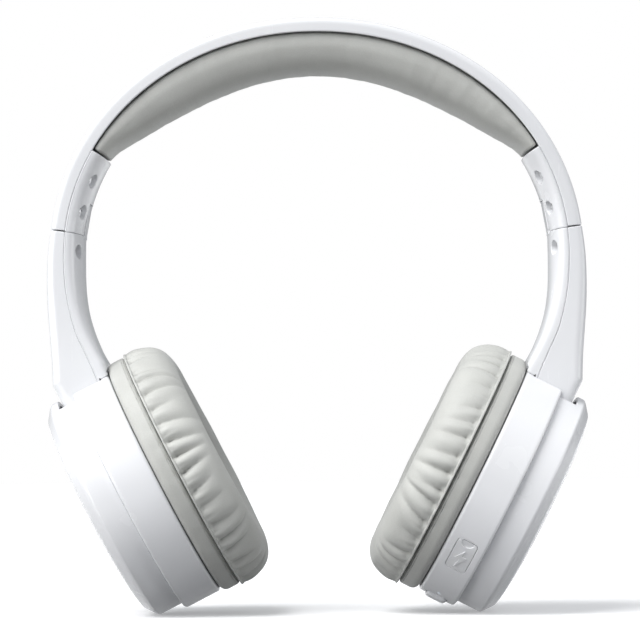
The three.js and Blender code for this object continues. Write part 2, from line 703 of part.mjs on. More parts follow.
function addCushion(cup, side) {
  const { r, innerR, front } = SKIRT;
  const skirt = turned([
    [0, innerR],
    [0, r - 1.2],
    [-0.5, r - 0.4],
    [-1.6, r],
    [-3.8, r],
    [-4.9, r - 0.4],
    [front, r - 1.2],
    [front, innerR],
  ]);
  piece(cup, `cushion_skirt_${side}`, skirt, LEATHER);
  const cushion = turned([
    [CUSHION_BACK, 39.8],
    [-7, 41.4],
    [-9.4, 41.8],
    [-13, 41.3],
    [-16, 39.8],
    [-18.4, 37.2],
    [-19.7, 33.9],
    [-20, 31.4],
    [-19.4, 27.6],
    [-17.6, 24.4],
    [-13, 22.4],
    [-8, 23.2],
    [CUSHION_BACK, 25],
  ]);
  piece(cup, `ear_cushion_${side}`, cushion, LEATHER);
  piece(cup, `scrim_${side}`, plateDisc(-5.4, -5, 32.4), CLOTH);
}

const plateDisc = (u0, u1, r) =>
  turned(
    [
      [u0, 0],
      [u0, r],
      [u1, r],
      [u1, 0],
    ],
    INNER_SIDES,
  );

function addDriver(cup, side) {
  const baffle = turned(
    [
      [-4.6, 16],
      [-4.6, 32.7],
      [1.6, 32.7],
      [1.6, 31],
      [-2.8, 31],
      [-2.8, 16],
    ],
    INNER_SIDES,
  );
  const vents = [];
  const ventCount = 6;
  for (let i = 0; i < ventCount; i++) {
    const angle = (2 * Math.PI * (i + 0.5)) / ventCount;
    const at = (u) => new THREE.Vector3(u, 26 * Math.cos(angle), 26 * Math.sin(angle));
    vents.push(rod(at(-6), at(0), 1.6, 6));
  }
  piece(cup, `baffle_${side}`, cut(baffle, ...vents), DARK);
  const frame = turned(
    [
      [-2.4, 17.2],
      [-2.4, 20.5],
      [-0.6, 20.5],
      [3.9, 16.5],
      [3.9, 9.2],
      [2.4, 9.2],
      [2.4, 15.4],
      [-0.9, 17.2],
    ],
    INNER_SIDES,
  );
  piece(cup, `driver_frame_${side}`, frame, DARK);
  piece(cup, `driver_magnet_${side}`, plateDisc(0.4, 5.3, 8.7), STEEL);
  const diaphragm = turned(
    [
      [-3.4, 0],
      [-3, 4],
      [-2.2, 7],
      [-2.9, 11],
      [-2.3, 15.6],
      [-1.9, 15.6],
      [-2.5, 11],
      [-1.8, 7],
      [-2.6, 4],
      [-3, 0],
    ],
    INNER_SIDES,
  );
  piece(cup, `driver_diaphragm_${side}`, diaphragm, CLEAR);
}

function addTrim(cup, side) {
  const { r, face } = TRIM;
  const cap = turned([
    [face - 2.4, 0],
    [face - 2.4, r],
    [face - 1.4, r],
    [face - 1.1, r - 0.5],
    [face - 0.3, 16],
    [face, 10],
    [face, 0],
  ]);
  piece(cup, `trim_cap_${side}`, cap, WHITE);
}

// Board, charging port with its flap, keys and lamp.
function addControls(cup) {
  const chord = Math.asin(BOARD.top / BOARD.r);
  const boardShape = new THREE.Shape().absarc(0, 0, BOARD.r, Math.PI - chord, 2 * Math.PI + chord);
  const board = plate(boardShape, BOARD.front, BOARD.back);
  const { inner, outer, wall } = PORT;
  // the port sits in a notch of the board's edge
  piece(cup, "circuit_board", cut(board, portBox(GAP, inner - GAP, outer)), GREEN);
  piece(cup, "usb_port", cut(portBox(0, inner, outer), portBox(-wall, inner + wall, outer + 1)), STEEL);

  const { u, angle, length, width, thickness } = FLAP;
  const [across, along] = [width / 2, length / 2];
  const flap = meet(
    rimBox(angle, [u - across, u + across], [-along, along], [30, 45]),
    ring(0, HOUSING.back, HOUSING.r - thickness, HOUSING.r),
  );
  piece(cup, "usb_flap", cut(flap, thumbNotch()), WHITE);

  ["key_volume_down", "key_play", "key_volume_up"].forEach((name, i) => {
    const rise = 0.5;
    const body = keyBar(i, 0, KEY.inner, KEY.outer - rise);
    const crown = keyBar(i, -rise, KEY.outer - 1, KEY.outer);
    piece(cup, name, join(body, crown), WHITE);
  });
  piece(cup, "status_lamp", lampRod(LED.r, 37.4, HOUSING.r + 0.1), CLEAR);
}

function addCup(parent, side) {
  const cup = new THREE.Group();
  cup.applyMatrix4(cupFrame);
  parent.add(cup);
  const hasControls = side === "right";
  piece(cup, `housing_${side}`, housing(hasControls), WHITE);
  piece(cup, `back_cover_${side}`, backCover(), WHITE);
  addTrim(cup, side);
  addCushion(cup, side);
  addDriver(cup, side);
  if (hasControls) {
    addControls(cup);
  } else {
    piece(cup, "battery", box([7, 11.6], [-17, 17], [-28, -6]), STEEL);
  }
}

// ---------------------------------------------------------------- the whole

const group = new THREE.Group();
group.name = "headphones";
addHeadband(group);
for (const side of ["right", "left"]) {
  const half = new THREE.Group();
  half.scale.x = side === "left" ? -1 : 1;
  group.add(half);
  addEndCover(half, side);
  addSlider(half, side);
  addArm(half, side);
  addCup(half, side);
}

export default group;
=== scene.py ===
"""The looks of a pair of over-ear wireless headphones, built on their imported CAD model.

Drawing dimensions are millimetres and become metres where a mesh is made. Both sides are drawn for
the wearer's right (+X) and mirrored for the left. Cup pieces are drawn in the cup's frame: x along
the cup's axis (u), z towards the top of the cup (w).
"""

import math
import random

import bmesh
import bpy
import numpy as np
from mathutils import Matrix, Quaternion, Vector
from mathutils.bvhtree import BVHTree


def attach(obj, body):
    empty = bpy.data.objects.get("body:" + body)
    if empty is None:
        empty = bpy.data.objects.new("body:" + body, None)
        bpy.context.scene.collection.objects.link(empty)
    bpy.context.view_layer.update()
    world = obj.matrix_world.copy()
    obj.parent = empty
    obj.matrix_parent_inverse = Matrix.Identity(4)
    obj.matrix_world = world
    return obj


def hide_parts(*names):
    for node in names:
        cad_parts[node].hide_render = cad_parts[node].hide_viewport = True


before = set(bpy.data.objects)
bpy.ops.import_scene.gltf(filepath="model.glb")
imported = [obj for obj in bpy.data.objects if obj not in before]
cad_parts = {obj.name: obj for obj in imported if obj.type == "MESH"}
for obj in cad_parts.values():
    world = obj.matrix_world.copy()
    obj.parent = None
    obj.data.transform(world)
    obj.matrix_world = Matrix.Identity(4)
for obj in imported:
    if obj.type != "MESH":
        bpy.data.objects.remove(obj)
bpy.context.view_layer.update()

MM = 0.001
GAP = 0.3  # between neighbouring pieces
SEAM = 0.13  # between mouldings that close tightly
WALL = 1.7
SIDES = ("right", "left")

# The headband's outer surface is a superellipse arch in the XZ plane.
BAND_HALF_SPAN = 87.15
BAND_RISE = 78.3
BAND_SPRING_Z = 115.3
BAND_POWER = 2.05
BAND_END = math.radians(7)
COVER_END = math.radians(28.5)
BAND_END_HALF_WIDTH = 14
BAND_TOP_HALF_WIDTH = 17
SHELL_DEPTH = 5.2
SHELL_SKIN = 2.1
COVER_DEPTH = 11
COVER_ARCH = 2.4
PAD_DEPTHS = (4.8, 9.4, 12.1, 12.8, 12.4, 12)  # of the head pad, from its end to the crown
COVER_SCREW_ANGLES = (math.radians(12.7), math.radians(21.5))

BLADE_HALF_WIDTH = 6.6
BLADE_NEAR = 7
BLADE_FAR = 8
BLADE_TOP = 24
BLADE_FOOT_HALF_WIDTH = 9.5
BLADE_FOOT_TOP = -2.6
BLADE_FOOT_BOTTOM = -11
TAB_HALF_WIDTH = 4.6
TAB_NEAR = 8.7
TAB_HEIGHT = 10
SCREW_ACROSS = 9.8
SCREW_RECESS = 3.1
SCREW_RECESS_R = 2.3
SCREW_HEAD_R = 1.7
SCREW_HEAD = 1.1
SCREW_SHANK_R = 0.8
ARM_SCREW_HEIGHT = -6
ARM_FOOT_HALF_WIDTH = 15
ARM_EDGE_RADIUS = 2.6
ARM_FOOT_ARCH = 6

CUP_LEAN = math.radians(27)
CUP_CENTRE_X = 50.2
HOUSING_R = 40.5
HOUSING_FRONT = 0.3
HOUSING_BACK = 13.2
BACK_R = 38.5
BACK_EDGE = 21.6
TRIM_R = 28.4
TRIM_FACE = 26.9
SKIRT_R = 41.6
SKIRT_INNER_R = 33.2
SKIRT_FRONT = -5.4
SEAM_STEP = 1  # the seam stands this far beyond the band's inner edge
PIVOT_U = 10.8
PIVOT_W = 33
NECK_R = 7.4
PIN_R = 1.5
NECK_FREE = 3.2
FOOT_OUTER = PIVOT_U + NECK_R
FOOT_INNER = -0.9
FOOT_TOP = 43.3  # where the arm meets the cup, on its outer and on its inner side
FOOT_INNER_TOP = 42.5
FOOT_BOTTOM = 34.5
FOOT_SEAM = 0.761  # the seam's place across the arm, where it meets the cup and at the foot's end
FOOT_END_SEAM = 0.72
COVER_BOTTOM = 36.9
TILT = math.radians(7)

FLAP_U = 6.9
FLAP_ANGLE = math.radians(52.2)
FLAP_LENGTH = 12
FLAP_WIDTH = 6.4
FLAP_THICKNESS = 1.1
THUMB_R = 2.1
THUMB_DEPTH = 0.6
KEY_U = 6.6
KEY_LENGTH = 5
KEY_WIDTH = 7
KEY_STEP = math.radians(8.2)
KEY_INNER = 38
KEY_OUTER = 41.6
LAMP_ANGLE = math.radians(17)
LAMP_R = 0.6

CUP_CENTRE_Z = BACK_R * math.cos(CUP_LEAN) + BACK_EDGE * math.sin(CUP_LEAN)

# ---------------------------------------------------------------- meshes


def lerp(a, b, share):
    return a + (b - a) * share


def curve(p0, p1, p2, p3, t):
    """A smooth curve from p1 to p2, which p0 and p3 steer."""
    v0, v1 = (p2 - p0) / 2, (p3 - p1) / 2
    return (2 * p1 - 2 * p2 + v0 + v1) * t**3 + (3 * p2 - 3 * p1 - 2 * v0 - v1) * t**2 + v0 * t + p1


def new_object(name, points, faces):
    """A mesh object from points in millimetres."""
    mesh = bpy.data.meshes.new(name)
    mesh.from_pydata([Vector(p) * MM for p in points], [], faces)
    obj = bpy.data.objects.new(name, mesh)
    bpy.context.scene.collection.objects.link(obj)
    bm = bmesh.new()
    bm.from_mesh(mesh)
    bmesh.ops.recalc_face_normals(bm, faces=bm.faces)
    bm.to_mesh(mesh)
    bm.free()
    return obj


def skin(name, rings, closed=False):
    """A surface through rings of equally many points; its ends are capped unless it closes on itself."""
    size, count = len(rings[0]), len(rings)
    points = [p for ring in rings for p in ring]
    faces = []
    for r in range(count if closed else count - 1):
        a, b = r * size, (r + 1) % count * size
        for i in range(size):
            j = (i + 1) % size
            faces.append((a + i, a + j, b + j, b + i))
    if not closed:
        faces.append(tuple(range(size)))
        faces.append(tuple(range((count - 1) * size, count * size)))
    return new_object(name, points, faces)


def rounded(corners, radii, steps=4):
    """A closed outline with its corners rounded; radii is one radius, or one for each corner."""
    count = len(corners)
    sizes = radii if isinstance(radii, (list, tuple)) else [radii] * count
    points = []
    for i, radius in enumerate(sizes):
        p = Vector(corners[i])
        before = Vector(corners[i - 1]) - p
        after = Vector(corners[(i + 1) % count]) - p
        if radius <= 0:
            points.append(tuple(p))
            continue
        longest = 0.48 * min(before.length, after.length)
        reach = min(radius / math.tan(before.angle(after) / 2), longest)
        start = p + before.normalized() * reach
        end = p + after.normalized() * reach
        for step in range(steps + 1):
            t = step / steps
            points.append(tuple(start * (1 - t) ** 2 + p * 2 * t * (1 - t) + end * t * t))
    return points


def turned(name, profile, sides=160):
    """A body turned about the x axis; the profile lists [along the axis, radius]."""
    points, rows = [], []
    for u, r in profile:
        if r < 1e-6:
            rows.append([len(points)] * sides)
            points.append((u, 0, 0))
            continue
        rows.append(list(range(len(points), len(points) + sides)))
        for i in range(sides):
            turn = 2 * math.pi * i / sides
            points.append((u, r * math.sin(turn), r * math.cos(turn)))
    if profile[0][1] > 0:
        rows.append(rows[0])
    faces = []
    for first, second in zip(rows, rows[1:]):
        for i in range(sides):
            j = (i + 1) % sides
            face = [first[i], first[j], second[j], second[i]]
            faces.append(tuple(dict.fromkeys(face)))
    return new_object(name, points, faces)


def block(x, y, z):
    """A cutting tool: the box between two values along each axis."""
    points = [(a, b, c) for a in x for b in y for c in z]
    faces = [(0, 1, 3, 2), (4, 5, 7, 6), (0, 1, 5, 4), (2, 3, 7, 6), (0, 2, 6, 4), (1, 3, 7, 5)]
    return new_object("tool", points, faces)


def rod(start, end, radius, sides=32):
    """A round bar from one point to another."""
    start, end = Vector(start), Vector(end)
    turn = (end - start).to_track_quat("Z", "Y")
    angles = [2 * math.pi * i / sides for i in range(sides)]
    spokes = [turn @ Vector((radius * math.cos(a), radius * math.sin(a), 0)) for a in angles]
    return skin("tool", [[centre + spoke for spoke in spokes] for centre in (start, end)])


def moved(obj, matrix):
    """The object's mesh moved by a matrix in millimetres."""
    metres = matrix.copy()
    metres.translation *= MM
    obj.data.transform(metres)
    if metres.determinant() < 0:
        obj.data.flip_normals()
    return obj


def apply_modifiers(obj):
    evaluated = obj.evaluated_get(bpy.context.evaluated_depsgraph_get())
    mesh = bpy.data.meshes.new_from_object(evaluated)
    obj.modifiers.clear()
    obj.data = mesh


def combine(obj, operation, *tools):
    for tool in tools:
        modifier = obj.modifiers.new(operation, "BOOLEAN")
        modifier.operation = operation
        modifier.solver = "EXACT"
        modifier.object = tool
    apply_modifiers(obj)
    for tool in tools:
        bpy.data.objects.remove(tool)
    return obj


def carve(obj, *tools):
    return combine(obj, "DIFFERENCE", *tools)


def close_up(bm):
    """Removes slivers, stray faces and loose edges, and closes any pinhole they leave."""
    bmesh.ops.dissolve_degenerate(bm, edges=bm.edges, dist=0.001 * MM)
    counts = {f: [len(e.link_faces) for e in f.edges] for f in bm.faces}
    stray = [f for f, shared in counts.items() if min(shared) == 1 and max(shared) > 2]
    bmesh.ops.delete(bm, geom=stray, context="FACES")
    loose = [e for e in bm.edges if not e.link_faces]
    bmesh.ops.delete(bm, geom=loose, context="EDGES")
    rims = [e for e in bm.edges if len(e.link_faces) == 1]
    bmesh.ops.holes_fill(bm, edges=rims, sides=12)


def soften(obj, width=0.25, sharper_than=30, segments=3):
    """Rounds the edges that are sharper than an angle in degrees.

    A bevel throws some points far out where edges meet at a shallow angle, so any point that ends
    up off the first surface by more than the bevel's width goes back to it.
    """
    bm = bmesh.new()
    bm.from_mesh(obj.data)
    bmesh.ops.remove_doubles(bm, verts=bm.verts, dist=0.02 * MM)
    bmesh.ops.dissolve_degenerate(bm, edges=bm.edges, dist=0.02 * MM)
    surface = BVHTree.FromBMesh(bm)
    limit = math.radians(sharper_than)
    sharp = [e for e in bm.edges if len(e.link_faces) == 2 and e.calc_face_angle(0) > limit]
    bmesh.ops.bevel(
        bm,
        geom=sharp,
        offset=width * MM,
        segments=segments,
        profile=0.5,
        affect="EDGES",
        clamp_overlap=False,
    )
    for vert in bm.verts:
        nearest, _, _, away = surface.find_nearest(vert.co)
        if away > width * MM:
            vert.co = nearest
    bmesh.ops.remove_doubles(bm, verts=bm.verts, dist=0.005 * MM)
    close_up(bm)
    bm.to_mesh(obj.data)
    bm.free()
    return obj


def smooth(obj, sharper_than=38):
    """Smooth shading, with the flats kept flat by normals weighted by area."""
    obj.data.shade_smooth()
    obj.data.set_sharp_from_angle(angle=math.radians(sharper_than))
    weighted = obj.modifiers.new("normals", "WEIGHTED_NORMAL")
    weighted.keep_sharp = True
    return obj


def mirror_for(obj, side):
    """Turns a piece drawn for the right side into the left one."""
    if side == "left":
        obj.data.transform(Matrix.Scale(-1, 4, (1, 0, 0)))
        obj.data.flip_normals()
    return obj


def place(obj, slot, body, *nodes, material=None):
    """Gives a finished piece its material, and says what it stands for and moves with."""
    obj.data.materials.clear()
    obj.data.materials.append(MATERIALS[material or slot])
    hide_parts(*nodes)
    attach(obj, body)
    return obj


def place_on(obj, side, slot, body, node):
    """Places a piece drawn for the right side, mirrored if it belongs to the left."""
    mirror_for(obj, side)
    place(obj, slot, body, node)


def place_in_cup(obj, side, slot, node, body=None):
    """Places a piece drawn in the cup's frame, at its cup."""
    set_in_cup(obj, side)
    place(obj, slot, body or f"cup_{side}", node)


# ---------------------------------------------------------------- materials


class Nodes:
    """A short way to write a node material."""

    def __init__(self, name):
        self.material = bpy.data.materials.new(name)
        self.material.use_nodes = True
        self.tree = self.material.node_tree
        self.surface = self.tree.nodes["Principled BSDF"]
        coordinates = self.tree.nodes.new("ShaderNodeTexCoord")
        self.place = coordinates.outputs["Object"]

    def add(self, kind, values=None, **settings):
        node = self.tree.nodes.new("ShaderNode" + kind)
        for key, value in settings.items():
            setattr(node, key, value)
        for key, value in (values or {}).items():
            self.give(node.inputs[key], value)
        return node

    def give(self, socket, value):
        if isinstance(value, bpy.types.NodeSocket):
            self.tree.links.new(value, socket)
        else:
            socket.default_value = value

    def noise(self, size, detail=3, roughness=0.5, stretch=(1, 1, 1)):
        """Noise from 0 to 1 whose lumps are about that many millimetres across."""
        place = self.add("Mapping", {"Vector": self.place, "Scale": stretch})
        values = {
            "Vector": place.outputs[0],
            "Scale": 1 / (size * MM),
            "Detail": detail,
            "Roughness": roughness,
        }
        return self.add("TexNoise", values).outputs[0]

    def cells(self, size, feature="DISTANCE_TO_EDGE", wander=None):
        """Cells about that many millimetres across."""
        place = wander or self.place
        values = {"Vector": place, "Scale": 1 / (size * MM)}
        return self.add("TexVoronoi", values, feature=feature).outputs["Distance"]

    def span(self, value, low, high, to_low=0.0, to_high=1.0):
        """The value, moved from one range to another and kept inside it."""
        values = {
            "Value": value,
            "From Min": low,
            "From Max": high,
            "To Min": to_low,
            "To Max": to_high,
        }
        return self.add("MapRange", values).outputs[0]

    def maths(self, operation, a, b=0.0):
        node = self.add("Math", operation=operation)
        self.give(node.inputs[0], a)
        self.give(node.inputs[1], b)
        return node.outputs[0]

    def mix(self, share, first, second):
        node = self.add("Mix", data_type="RGBA")
        self.give(node.inputs["Factor"], share)
        self.give(node.inputs[6], first)
        self.give(node.inputs[7], second)
        return node.outputs[2]

    def bump(self, height, strength, depth, under=None):
        """A bump that many millimetres deep, over another bump if one is given."""
        values = {"Height": height, "Strength": strength, "Distance": depth * MM}
        if under is not None:
            values["Normal"] = under
        return self.add("Bump", values).outputs[0]

    def pointed(self, low, high):
        """From 0 in hollows to 1 on edges."""
        return self.span(self.add("NewGeometry").outputs["Pointiness"], low, high)

    def done(self, **values):
        for key, value in values.items():
            self.give(self.surface.inputs[key.replace("_", " ")], value)
        return self.material


def rgb(red, green, blue):
    return (red, green, blue, 1.0)


def moulded(name, base, tint, rough=(0.2, 0.3), worn=rgb(0.89, 0.89, 0.895), coat=0.25):
    """Moulded plastic: slow colour drift, orange peel, hairline scratches and rubbed edges."""
    n = Nodes(name)
    drift = n.noise(28, 2)
    rubbed = n.maths("MULTIPLY", n.pointed(0.54, 0.7), n.span(n.noise(3), 0.2, 0.8, 0.05, 0.35))
    colour = n.mix(rubbed, n.mix(n.span(drift, 0.3, 0.7), base, tint), worn)
    hair = n.span(n.noise(0.9, 4, 0.6, (1, 1, 0.06)), 0.6, 0.75, 0.0, 0.025)
    clouds = n.span(n.noise(14, 2), 0.1, 0.9, rough[0], rough[1])
    roughness = n.maths("ADD", n.maths("ADD", clouds, hair), n.maths("MULTIPLY", rubbed, 0.15))
    peel = n.bump(n.noise(2.2, 2), 0.03, 0.04)
    fine = n.bump(n.noise(0.2, 2), 0.05, 0.01, peel)
    return n.done(
        Base_Color=colour,
        Roughness=roughness,
        Normal=fine,
        Coat_Weight=coat,
        Coat_Roughness=0.12,
        IOR=1.5,
    )


def leather(name, shade):
    """Soft protein leather: two sizes of pebble, pores, creases, painted shade darkening its hollows, and a
    faint sheen.
    """
    n = Nodes(name)
    wander = n.add("VectorMath", operation="MULTIPLY_ADD")
    swirl = n.add("TexNoise", {"Vector": n.place, "Scale": 600.0, "Detail": 2.0})
    n.give(wander.inputs[0], swirl.outputs["Color"])
    wander.inputs[1].default_value = [0.4 * MM] * 3
    n.give(wander.inputs[2], n.place)
    pebbles = n.span(n.cells(0.72, wander=wander.outputs[0]), 0.0, 0.16)
    grains = n.span(n.cells(0.3, wander=wander.outputs[0]), 0.0, 0.22)
    creases = n.noise(2.6, 4, 0.62)
    shade_in_hollows = n.pointed(0.4, 0.5)
    drift = n.span(n.noise(16, 3), 0.3, 0.7)
    pale, dark = (rgb(*(c * shade * k for c in (1.0, 1.005, 0.955))) for k in (1.0, 0.91))
    colour = n.mix(drift, dark, pale)
    colour = n.mix(n.span(pebbles, 0, 1, 0.08, 0.0), colour, rgb(0.3, 0.3, 0.27))
    # Painted shade: the leather's colour is darkened in its hollows and creases, where shade would fall.
    colour = n.mix(n.span(shade_in_hollows, 0, 1, 0.45, 0.0), colour, rgb(0.2, 0.2, 0.18))
    roughness = n.span(n.maths("MULTIPLY", pebbles, grains), 0, 1, 0.6, 0.43)
    first = n.bump(creases, 0.22, 0.25)
    second = n.bump(pebbles, 0.25, 0.05, first)
    third = n.bump(grains, 0.22, 0.03, second)
    return n.done(
        Base_Color=colour,
        Roughness=roughness,
        Normal=third,
        Sheen_Weight=0.12,
        Sheen_Roughness=0.4,
        IOR=1.45,
    )


def woven():
    """Open plain weave over the driver, its threads 0.45 mm apart in the cup's own plane."""
    n = Nodes("scrim_cloth")
    axes = n.add("SeparateXYZ", {"Vector": n.place})
    turn = math.pi / (0.45 * MM)
    along = n.maths("SINE", n.maths("MULTIPLY", axes.outputs[1], turn))
    across = n.maths("SINE", n.maths("MULTIPLY", axes.outputs[2], turn))
    over = n.maths("ABSOLUTE", along)
    under = n.maths("ABSOLUTE", across)
    turn_about = n.maths("MULTIPLY", along, across)
    height = n.mix(n.span(turn_about, -0.1, 0.1), over, under)
    fuzz = n.noise(0.15, 2)
    level = n.maths("ADD", n.maths("MULTIPLY", height, 0.8), n.maths("MULTIPLY", fuzz, 0.2))
    colour = n.mix(n.span(level, 0.2, 0.9), rgb(0.035, 0.036, 0.036), rgb(0.2, 0.205, 0.2))
    return n.done(
        Base_Color=colour,
        Roughness=n.span(fuzz, 0, 1, 0.75, 0.95),
        Normal=n.bump(level, 0.7, 0.12),
        Sheen_Weight=0.25,
    )


def brushed(name, base, tint, direction):
    """Metal with fine lines along one direction, stained a little."""
    n = Nodes(name)
    lines = n.noise(0.5, 5, 0.7, direction)
    stain = n.noise(6, 3)
    colour = n.mix(n.span(stain, 0.35, 0.7), base, tint)
    return n.done(
        Base_Color=colour,
        Metallic=1.0,
        Roughness=n.span(lines, 0.3, 0.7, 0.24, 0.42),
        Normal=n.bump(lines, 0.12, 0.02),
    )


def circuit():
    """Solder mask with faint copper tracks under it and bare pads."""
    n = Nodes("board")
    tracks = n.cells(3.2)
    pads = n.cells(2.4, "F1")
    track = n.span(tracks, 0.05, 0.07)
    bare = n.span(pads, 0.12, 0.14)
    mask = n.mix(track, rgb(0.06, 0.3, 0.14), rgb(0.02, 0.16, 0.08))
    colour = n.mix(bare, rgb(0.75, 0.62, 0.35), mask)
    return n.done(
        Base_Color=colour,
        Metallic=n.span(bare, 0, 1, 0.9, 0.0),
        Roughness=n.span(n.noise(4), 0.3, 0.7, 0.3, 0.45),
        Normal=n.bump(track, 0.4, 0.04),
    )


def film():
    """Clear moulded lens or diaphragm, a little milky, with a faint glow that is painted glow on the
    diaphragm.
    """
    n = Nodes("clear_film")
    cloudy = n.noise(2.2, 3)
    return n.done(
        Base_Color=n.mix(n.span(cloudy, 0.3, 0.7), rgb(0.86, 0.89, 0.92), rgb(0.93, 0.95, 0.97)),
        Roughness=n.span(cloudy, 0.3, 0.7, 0.06, 0.18),
        Transmission_Weight=0.55,
        IOR=1.49,
        Normal=n.bump(n.noise(0.7), 0.05, 0.02),
        # Faint glow: on the status lamp's lens it stands for the lit lamp; on the driver's diaphragm it is
        # a painted glow.
        Emission_Color=rgb(0.85, 0.93, 1.0),
        Emission_Strength=0.12,
    )


def rubber(name, base, tint):
    """Satin rubber with dust in its fine grain."""
    n = Nodes(name)
    grain = n.noise(0.25, 3, 0.6)
    dust = n.span(n.noise(5, 4), 0.5, 0.75)
    return n.done(
        Base_Color=n.mix(dust, base, tint),
        Roughness=n.span(grain, 0.3, 0.7, 0.42, 0.58),
        Normal=n.bump(grain, 0.12, 0.03),
        Sheen_Weight=0.1,
    )


def pouch():
    """The battery's laminated foil, slightly creased."""
    n = Nodes("battery_pouch")
    creases = n.noise(4, 4, 0.6)
    return n.done(
        Base_Color=n.mix(n.span(creases, 0.3, 0.7), rgb(0.62, 0.63, 0.65), rgb(0.75, 0.75, 0.77)),
        Metallic=1.0,
        Roughness=n.span(n.noise(1.2), 0.3, 0.7, 0.28, 0.42),
        Normal=n.bump(creases, 0.4, 0.3),
    )


MATERIALS = {
    "white_plastic": moulded("white_plastic", rgb(0.83, 0.835, 0.855), rgb(0.865, 0.868, 0.882)),
    "soft_leather": leather("soft_leather", 0.57),
    "pad_leather": leather("pad_leather", 0.57),
    "scrim_cloth": woven(),
    "dark_plastic": moulded(
        "dark_plastic",
        rgb(0.04, 0.04, 0.044),
        rgb(0.06, 0.06, 0.063),
        rough=(0.4, 0.55),
        worn=rgb(0.1, 0.1, 0.1),
        coat=0,
    ),
    "steel": brushed("steel", rgb(0.6, 0.61, 0.62), rgb(0.5, 0.5, 0.51), (0.05, 1, 1)),
    "board": circuit(),
    "clear_film": film(),
    "cable_rubber": rubber("cable_rubber", rgb(0.04, 0.04, 0.04), rgb(0.08, 0.08, 0.08)),
    "white_rubber": rubber("white_rubber", rgb(0.83, 0.835, 0.85), rgb(0.79, 0.79, 0.79)),
    "battery_pouch": pouch(),
}

# ---------------------------------------------------------------- the frames of the drawing


def band_at(angle):
    """The headband's outer surface at an angle from the horizontal, and its outward normal."""
    cosine = math.cos(angle)
    x = math.copysign(abs(cosine) ** (2 / BAND_POWER), cosine)
    z = math.sin(angle) ** (2 / BAND_POWER)
    normal = Vector(
        (
            math.copysign(abs(x) ** (BAND_POWER - 1), x) / BAND_HALF_SPAN,
            z ** (BAND_POWER - 1) / BAND_RISE,
        )
    ).normalized()
    return Vector((x * BAND_HALF_SPAN, BAND_SPRING_Z + z * BAND_RISE)), normal


def band_point(angle, depth, y=0.0):
    point, normal = band_at(angle)
    return Vector((point.x - normal.x * depth, y, point.y - normal.y * depth))


def band_half_width(angle):
    return lerp(BAND_END_HALF_WIDTH, BAND_TOP_HALF_WIDTH, math.sin(angle) ** 2)


band_end, band_end_normal = band_at(BAND_END)
SLIDE_FRAME = Matrix.Translation((band_end.x, 0, band_end.y)) @ Matrix.Rotation(
    -math.atan2(band_end_normal.y, band_end_normal.x), 4, "Y"
)
CUP_FRAME = Matrix.Translation((CUP_CENTRE_X, 0, CUP_CENTRE_Z)) @ Matrix.Rotation(CUP_LEAN, 4, "Y")


def from_slide(depth, height, y=0.0):
    return SLIDE_FRAME @ Vector((-depth, y, height))


def from_cup(u, w, y=0.0):
    return CUP_FRAME @ Vector((u, y, w))


def on_rim(angle):
    """A place on the cup's rim: z points outwards; the angle runs from the bottom towards -y."""
    return Matrix.Rotation(math.pi - angle, 4, "X")


def set_in_cup(obj, side):
    """Sets a piece drawn in the cup's frame at its cup."""
    mirror_for(obj, side)
    sign = 1 if side == "right" else -1
    turn = Matrix.Rotation(sign * CUP_LEAN, 4, "Y")
    centre = Vector((sign * CUP_CENTRE_X, 0, CUP_CENTRE_Z)) * MM
    obj.matrix_world = Matrix.Translation(centre) @ turn
    return obj


def arch(foot, crown, half, power, steps=40):
    """Points of an arch over its crown, as [depth, across]; a power of 2 is an ellipse."""
    points = []
    for i in range(steps + 1):
        turn = math.pi * i / steps
        c, s = math.cos(turn), math.sin(turn)
        r = (abs(c) ** power + abs(s) ** power) ** (-1 / power)
        points.append((foot + (crown - foot) * r * s, half * r * c))
    return points


def bent(name, section_at, start, end, steps):
    """A section of [depth, across] swept along the headband between two angles."""
    rings = []
    for i in range(steps + 1):
        angle = lerp(start, end, i / steps)
        rings.append([band_point(angle, d, y) for d, y in section_at(angle)])
    return skin(name, rings)


# ---------------------------------------------------------------- headband


def shell_section(angle):
    half = band_half_width(angle)
    corners = [
        (SHELL_DEPTH, half),
        (0.62, half),
        (0.15, 0),
        (0.62, -half),
        (SHELL_DEPTH, -half),
        (SHELL_DEPTH, WALL - half),
        (SHELL_SKIN, WALL - half),
        (SHELL_SKIN, half - WALL),
        (SHELL_DEPTH, half - WALL),
    ]
    return rounded(corners, [0.45, 2.4, 500, 2.4, 0.45, 0.35, 0.6, 0.6, 0.35], 6)


def headband_shell():
    shell = bent("band_shell", shell_section, BAND_END, math.pi - BAND_END, 150)
    smooth(soften(shell, 0.3))
    place(shell, "white_plastic", "headband", "headband_shell")


def slide_block(depth, y, height):
    return moved(block((-depth[1], -depth[0]), y, height), SLIDE_FRAME)


